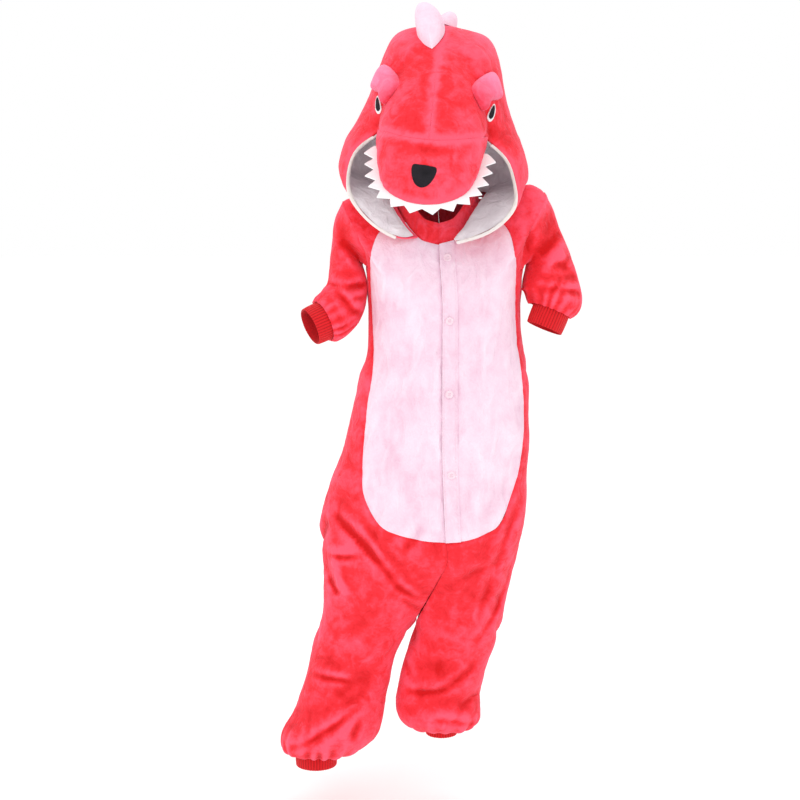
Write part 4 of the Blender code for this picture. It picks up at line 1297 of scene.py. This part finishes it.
@dataclass(frozen=True)
class RibCuff:
    """A tube of ribbed knit, with its ribs along it."""

    node: str
    start: Point
    end: Point
    radius: float
    ribs: int
    seed: float
    rib_depth: float = 1.1
    wall: float = 2.6
    rings: int = 14
    steps: int = 6
    edge_turn: float = 1.2
    edge_sink: float = 0.9

    def build(self, onesie: Onesie) -> bpy.types.Object:
        """Builds the cuff.

        Args:
            onesie: gives the finishes.

        Returns:
            The finished piece.
        """
        start, end = np.array(self.start, float), np.array(self.end, float)
        along = (end - start) / np.linalg.norm(end - start)
        right = np.cross(along, (0.0, 1.0, 0.2))
        right /= np.linalg.norm(right)
        front = np.cross(along, right)
        count = self.ribs * self.steps
        turn = np.linspace(0.0, 2.0 * np.pi, count, endpoint=False)
        spokes = np.outer(np.cos(turn), right) + np.outer(np.sin(turn), front)
        rings, painted_lights = [], []
        for share, depth in self.profile():
            lean = 0.35 * np.sin(3.0 * turn + self.seed) + 0.25 * np.sin(7.0 * turn - self.seed)
            drift = 0.5 * share * np.sin(2.0 * turn + self.seed)
            wave = np.abs(np.cos(self.ribs * turn / 2.0 + drift)) ** 0.7
            outside = 1.0 if depth < self.wall - 0.1 else 0.0
            groove = self.rib_depth * (1.0 - wave) - 0.4 * lean * share
            radius = self.radius - depth - outside * groove
            rings.append(start + (end - start) * share + spokes * radius[:, None])
            # Painted light: the rib crests get a painted highlight and the grooves painted shade.
            painted_lights.append(outside * (wave * 1.7 - 0.9))
        return self.finished(onesie, np.array(rings), np.array(painted_lights))

    def profile(self) -> list[tuple[float, float]]:
        """Works out the wall's outline.

        Returns:
            For each ring, its share of the length and its depth, in millimetres.
        """
        turned = self.edge_turn / math.dist(self.start, self.end)
        sink = self.edge_sink
        outer = [
            (share, sink - sink * math.sin(math.pi * min(share * 1.1, 1.0)) ** 0.5)
            for share in np.linspace(0.0, 1.0 - turned, self.rings)
        ]
        rim = [(1.0 - 0.3 * turned, sink + 0.25 * self.wall), (1.0, sink + 0.5 * self.wall)]
        inner = [(share, self.wall + 0.3) for share in np.linspace(1.0 - turned, 0.0, 5)]
        return outer + rim + inner

    def finished(
        self, onesie: Onesie, rings: np.ndarray, painted_lights: np.ndarray
    ) -> bpy.types.Object:
        """Joins the rings to one closed wall and publishes it.

        Args:
            onesie: gives the finishes.
            rings: the points of each ring, in millimetres.
            painted_lights: the painted light of each point: painted highlight on the rib crests and
                painted shade in the grooves.

        Returns:
            The finished piece.
        """
        total, count = rings.shape[:2]
        faces = []
        for ring in range(total):
            low, high = ring * count, (ring + 1) % total * count
            for step in range(count):
                after = (step + 1) % count
                faces.append((low + step, high + step, high + after, low + after))
        made = new_object(f"{self.node}_knit", rings.reshape(-1, 3), faces)
        keep_layer(made, PAINTED_LIGHT_LAYER, painted_lights.ravel())
        dress(made, onesie.finish(RIB_KNIT))
        publish(made, self.node)
        return made


CUFFS = (
    RibCuff("sleeve_cuff_right", (184.5, -16.2, -129), (169, -22.3, -166), 30.5, 40, 0.4),
    RibCuff("sleeve_cuff_left", (-175.5, -35.2, -149.4), (-203.5, -47.7, -161.3), 31.5, 41, 1.7),
    RibCuff("ankle_cuff_right", (8, 5.5, -818), (8, 5.5, -847), 27.0, 36, 2.3),
    RibCuff("ankle_cuff_left", (-200, -7, -854), (-200, -7, -896), 34.8, 44, 3.1),
)


@dataclass
class Sleeves:
    """The two sleeves and their cuffs, and the ankle cuffs."""

    onesie: Onesie
    sleeves: tuple[str, ...] = ("sleeve_right", "sleeve_left")

    def build(self) -> None:
        """Makes each sleeve and cuff."""
        for name in self.sleeves:
            # Painted highlight along the sleeves' seams.
            self.onesie.cloth(name, RED_PLUSH, seam_nap=0.3)
        for cuff in CUFFS:
            self.onesie.pieces[cuff.node] = cuff.build(self.onesie)


@dataclass
class Hood:
    """The hood's sides, snout, lining and rim."""

    onesie: Onesie

    def build(self) -> None:
        """Makes the hood's cloth."""
        for name in ("hood_right", "hood_left", "snout_front"):
            # Painted highlight along the seams of the hood and the snout.
            self.onesie.cloth(name, RED_PLUSH, seam_nap=1.2)
        self.onesie.cloth(
            "hood_lining", LINING, "cloth", side=Side.INSIDE, wall=1.2, rumple=1.3, stand_off=3.0
        )
        self.onesie.cloth("snout_underside", LINING, "cloth", wall=1.8, creased=False, rumple=1.4)
        for name in ("rim_binding_right", "rim_binding_left"):
            self.onesie.solid(name, BINDING, "cloth")


@dataclass
class Fastening:
    """The four buttons, each sewn through four holes, and the placket's stitching."""

    onesie: Onesie
    buttons: int = 4
    profile: tuple[tuple[float, float], ...] = (
        (0.0, -1.05), (5.6, -1.05), (6.2, -0.75), (6.45, -0.1), (6.3, 0.6), (5.8, 1.0), (5.2, 1.05),
        (4.6, 0.75), (4.1, 0.35), (3.0, 0.2), (0.0, 0.2),
    )
    steps: int = 48
    hole_offset: float = 1.35
    hole_radius: float = 0.62
    hole_steps: int = 12
    drill_reach: float = 3.0
    thread_size: Point = (0.42, 2.3625, 0.36)
    thread_turns: tuple[tuple[float, float], ...] = ((45.0, 0.28), (-45.0, 0.42))
    stitch_size: Point = (0.55, 1.8, 0.45)
    stitch_step: float = 5.2
    lap_middle: tuple[tuple[float, float], ...] = (
        (-498, 11), (-439, 8), (-391, 6), (-350, 5), (-125, 5), (-84, 3), (-60, 1), (-30, 0),
    )
    stitch_lines: tuple[float, ...] = (2.6, 21.2)
    stitch_heights: tuple[float, float] = (-72.0, -486.0)
    stitch_lean: float = 0.06
    stitch_rise: float = 0.1

    def build(self) -> None:
        """Makes the buttons and the stitches."""
        for number in range(1, self.buttons + 1):
            self.add_button(f"button_{number}")
        self.add_stitches()

    def add_button(self, name: str) -> None:
        """Turns a button around its solid's axis, drills it and sews it on.

        Args:
            name: the solid's name.
        """
        node = self.onesie.nodes[name]
        points = read_points(node)[0]
        centre = (points.max(axis=0) + points.min(axis=0)) / 2.0
        axes = np.linalg.svd(points - points.mean(axis=0))[2]
        frame = upright_frame(axes[2] * -np.sign(axes[2][1]))
        turn = np.linspace(0.0, 2.0 * np.pi, self.steps, endpoint=False)
        places = [(0.0, 0.0, self.profile[0][1])]
        for radius, height in self.profile[1:-1]:
            ring = zip(radius * np.cos(turn), radius * np.sin(turn))
            places += [(across, up, height) for across, up in ring]
        places.append((0.0, 0.0, self.profile[-1][1]))
        faces = lathe_faces(len(self.profile) - 2, self.steps)
        made = new_object(f"{name}_disc", np.array(places) @ frame + centre, faces)
        self.drill(made, frame, centre)
        dress(made, self.onesie.finish(BUTTON))
        publish(made, name)
        self.onesie.pieces[name] = made
        self.add_thread(f"{name}_thread", frame, centre)

    def drill(self, made: bpy.types.Object, frame: np.ndarray, centre: np.ndarray) -> None:
        """Cuts the four holes.

        Args:
            made: the button.
            frame: its right, up and facing directions.
            centre: its middle, in millimetres.
        """
        steps = self.hole_steps
        turn = np.linspace(0.0, 2.0 * np.pi, steps, endpoint=False)
        places: list[Point] = []
        faces: list[tuple[int, ...]] = []
        for x, y in ((1, 1), (-1, 1), (-1, -1), (1, -1)):
            low, high = len(places), len(places) + steps
            across = x * self.hole_offset + self.hole_radius * np.cos(turn)
            along = y * self.hole_offset + self.hole_radius * np.sin(turn)
            for height in (-self.drill_reach, self.drill_reach):
                places += [(right, up, height) for right, up in zip(across, along)]
            faces.append(tuple(range(high - 1, low - 1, -1)))
            faces.append(tuple(range(high, high + steps)))
            for step in range(steps):
                after = (step + 1) % steps
                faces.append((low + step, low + after, high + after, high + step))
        cutter = new_object("button_drill", np.array(places) @ frame + centre, faces)
        holes = made.modifiers.new("holes", "BOOLEAN")
        holes.operation = "DIFFERENCE"
        holes.object = cutter
        make_real(made)
        bpy.data.objects.remove(cutter, do_unlink=True)

    def add_thread(self, name: str, frame: np.ndarray, centre: np.ndarray) -> None:
        """Lays two crossed threads between the holes of a button.

        Args:
            name: the new piece's name.
            frame: the button's right, up and facing directions.
            centre: its middle, in millimetres.
        """
        run = ThreadRun(self.thread_size)
        for turn, height in self.thread_turns:
            run.add(math.radians(turn), frame, centre + frame[2] * height)
        run.finish(name, self.onesie)

    def add_stitches(self) -> None:
        """Runs a line of stitches down each edge of the placket."""
        lap = self.onesie.pieces["placket"]
        corners = [vert.co / MM for vert in lap.data.vertices]
        tree = BVHTree.FromPolygons(corners, [tuple(face.vertices) for face in lap.data.polygons])
        heights, middles = zip(*self.lap_middle)
        run = ThreadRun(self.stitch_size)
        for line in self.stitch_lines:
            for number, height in enumerate(np.arange(*self.stitch_heights, -self.stitch_step)):
                across = float(np.interp(height, heights, middles)) + line
                start = Vector((across, -IN_FRONT, height))
                hit, facing, _, _ = tree.ray_cast(start, Vector((0.0, 1.0, 0.0)))
                if hit is None:
                    continue
                frame = upright_frame(np.array(facing))
                lean = self.stitch_lean * math.sin(number * 2.3 + line)
                run.add(lean, frame, np.array(hit) + frame[2] * self.stitch_rise)
        run.finish("placket_stitches", self.onesie)


@dataclass
class ThreadRun:
    """Small rounded bars of thread, collected into one piece."""

    size: Point
    places: list[np.ndarray] = field(default_factory=list)
    faces: list[tuple[int, ...]] = field(default_factory=list)

    def add(self, turn: float, frame: np.ndarray, place: np.ndarray) -> None:
        """Adds a bar.

        Args:
            turn: how far it is turned in its frame, in radians.
            frame: its right, up and facing directions.
            place: its middle, in millimetres.
        """
        bead = unit_bead() * np.array(self.size)
        cos, sin = math.cos(turn), math.sin(turn)
        spin = np.array([[cos, sin, 0.0], [-sin, cos, 0.0], [0.0, 0.0, 1.0]])
        first = len(self.places) * len(bead)
        for face in lathe_faces(len(BEAD_RINGS), BEAD_STEPS):
            self.faces.append(tuple(first + index for index in face))
        self.places.append(bead @ spin @ frame + place)

    def finish(self, name: str, onesie: Onesie) -> None:
        """Makes the piece, which stands for no solid.

        Args:
            name: its name.
            onesie: gives the thread's finish.
        """
        made = new_object(name, np.concatenate(self.places), self.faces)
        dress(made, onesie.finish(PALE_THREAD))
        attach(made, ROOT)
        LOG.info("%s has %d faces", name, len(self.faces))


def upright_frame(facing: np.ndarray) -> np.ndarray:
    """The right, up and facing directions of something that faces a given way.

    Args:
        facing: the way, as a unit vector.

    Returns:
        The three directions, one a row.
    """
    right = np.cross((0.0, 0.0, 1.0), facing)
    right /= np.linalg.norm(right)
    return np.stack([right, np.cross(facing, right), facing])


def lathe_faces(rings: int, steps: int) -> list[tuple[int, ...]]:
    """Works out the faces of a turned solid: a point, rings of points, and a point.

    Args:
        rings: how many rings it has.
        steps: how many points a ring has.

    Returns:
        The faces, as numbers of points.
    """
    faces: list[tuple[int, ...]] = []
    last = rings * steps + 1
    for step in range(steps):
        after = (step + 1) % steps
        faces.append((0, 1 + after, 1 + step))
        for ring in range(rings - 1):
            low, high = 1 + ring * steps, 1 + (ring + 1) * steps
            faces.append((low + step, low + after, high + after, high + step))
        faces.append((last - steps + step, last - steps + after, last))
    return faces


def unit_bead() -> np.ndarray:
    """The points of a small rounded bar along the second axis.

    Returns:
        The points, at most 1 from the middle along each axis.
    """
    turns = [2.0 * math.pi * step / BEAD_STEPS for step in range(BEAD_STEPS)]
    places = [(0.0, -1.0, 0.0)]
    for share in BEAD_RINGS:
        width = BEAD_END + (1.0 - BEAD_END) * math.sqrt(1.0 - share * share)
        places += [(width * math.cos(turn), share, width * math.sin(turn)) for turn in turns]
    places.append((0.0, 1.0, 0.0))
    return np.array(places)


@dataclass
class Face:
    """The felt teeth, eyes and nose, the brows and the spikes."""

    onesie: Onesie

    def build(self) -> None:
        """Dresses the face's pieces."""
        for name in ("teeth", "eye_white_right", "eye_white_left"):
            self.onesie.solid(name, WHITE_FELT, "felt")
        for name in ("pupil_right", "pupil_left", "nose_patch"):
            self.onesie.solid(name, BLACK_FELT, "felt")
        # The brows get a painted highlight on their upper outer side and painted shade underneath.
        for name, outward in (("brow_right", 1.0), ("brow_left", -1.0)):
            brow = self.onesie.solid(name, BROW_PLUSH, "pad", 3)
            paint_side_light(brow, (0.55 * outward, 0.0, 0.83))
        for name in ("spike_front", "spike_rear"):
            self.onesie.solid(name, PALE_PLUSH, "pad", 3)


# How much of its own painted light a piece keeps where one side gets a painted highlight, and how
# strong that painted highlight and the painted shade opposite are.
SIDE_LIGHT_KEPT = 0.5
SIDE_LIGHT_REACH = 1.3


def paint_side_light(made: bpy.types.Object, toward: Point) -> None:
    """Paints a highlight on one side of a piece and shade on the other, into its painted light
    layer.

    Args:
        made: the piece.
        toward: the way to the side with the painted highlight, as a unit vector.
    """
    points = read_points(made)[0]
    away = (points - points.mean(axis=0)) @ np.array(toward)
    layer = made.data.attributes[PAINTED_LIGHT_LAYER]
    old = np.empty(len(points), dtype=np.float32)
    layer.data.foreach_get("value", old)
    bright = SIDE_LIGHT_KEPT * old + SIDE_LIGHT_REACH * away / np.abs(away).max()
    layer.data.foreach_set("value", bright.astype(np.float32))


@dataclass
class Studio:
    """A pale floor, soft light and a camera at the photograph's angle.

    Each lamp has a name, a place, a width in metres and a power in watts.
    """

    floor_level: float = -0.962
    floor_size: float = 30.0
    target: Point = (-0.061, 0.0, -0.285)
    distance: float = 2.9
    elevation: float = 8.0
    sensor: float = 36.0
    metres_across: float = 1.296
    floor_colour: Colour = (0.93, 0.93, 0.93, 1)
    floor_glow: float = 0.12
    room: float = 1.0
    lamps: tuple[tuple[str, Point, float, float], ...] = (
        ("key", (-1.5, -2.4, 1.5), 1.8, 17.0),
        ("fill", (2.0, -2.2, 0.5), 1.8, 4.0),
        ("top", (0.3, 0.4, 2.4), 1.6, 8.0),
        ("rear", (0.2, 2.6, 1.4), 2.0, 10.0),
    )

    def build(self) -> None:
        """Sets the camera, the floor and the light."""
        self.add_camera()
        self.add_floor()
        self.add_lights()

    def add_camera(self) -> None:
        """Puts the camera where the photograph was taken from."""
        camera = bpy.data.cameras.new("camera")
        camera.sensor_width = self.sensor
        camera.lens = self.sensor * self.distance / self.metres_across
        made = link_object("camera", camera)
        up = math.radians(self.elevation)
        back = Vector((0.0, -math.cos(up), math.sin(up)))
        made.location = Vector(self.target) + back * self.distance
        made.rotation_euler = (-back).to_track_quat("-Z", "Y").to_euler()
        bpy.context.scene.camera = made

    def add_floor(self) -> None:
        """Lays the pale floor under the ankles, where the wearer stands."""
        half = self.floor_size / 2
        corners = [(-half, -half), (half, -half), (half, half), (-half, half)]
        data = bpy.data.meshes.new("floor")
        data.from_pydata([(x, y, self.floor_level) for x, y in corners], [], [(0, 1, 2, 3)])
        made = link_object("floor", data)
        paint = Painter("floor_paper")
        data.materials.append(
            paint.finish({
                "Base Color": self.floor_colour, "Roughness": 0.9,
                "Emission Color": self.floor_colour, "Emission Strength": self.floor_glow,
            })
        )

    def add_lights(self) -> None:
        """Hangs large soft lights in front, above and behind, and lights the room evenly."""
        middle = Vector(self.target)
        for name, place, size, watts in self.lamps:
            lamp = bpy.data.lights.new(name, "AREA")
            lamp.size = size
            lamp.energy = watts
            made = link_object(name, lamp)
            made.location = place
            made.rotation_euler = (middle - made.location).to_track_quat("-Z", "Y").to_euler()
        world = bpy.data.worlds.new("room")
        world.use_nodes = True
        sky = world.node_tree.nodes["Background"]
        sky.inputs[0].default_value = (1.0, 1.0, 1.0, 1)
        sky.inputs[1].default_value = self.room
        bpy.context.scene.world = world
        bpy.context.scene.view_settings.view_transform = "Standard"


def main() -> None:
    """Builds the onesie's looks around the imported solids."""
    logging.basicConfig(level=logging.INFO, format="%(name)s: %(message)s")
    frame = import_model()
    Studio().build()
    onesie = Onesie(frame["nodes"])
    Trunk(onesie).build()
    Sleeves(onesie).build()
    Hood(onesie).build()
    Face(onesie).build()
    Fastening(onesie).build()


if __name__ == "__main__":
    main()
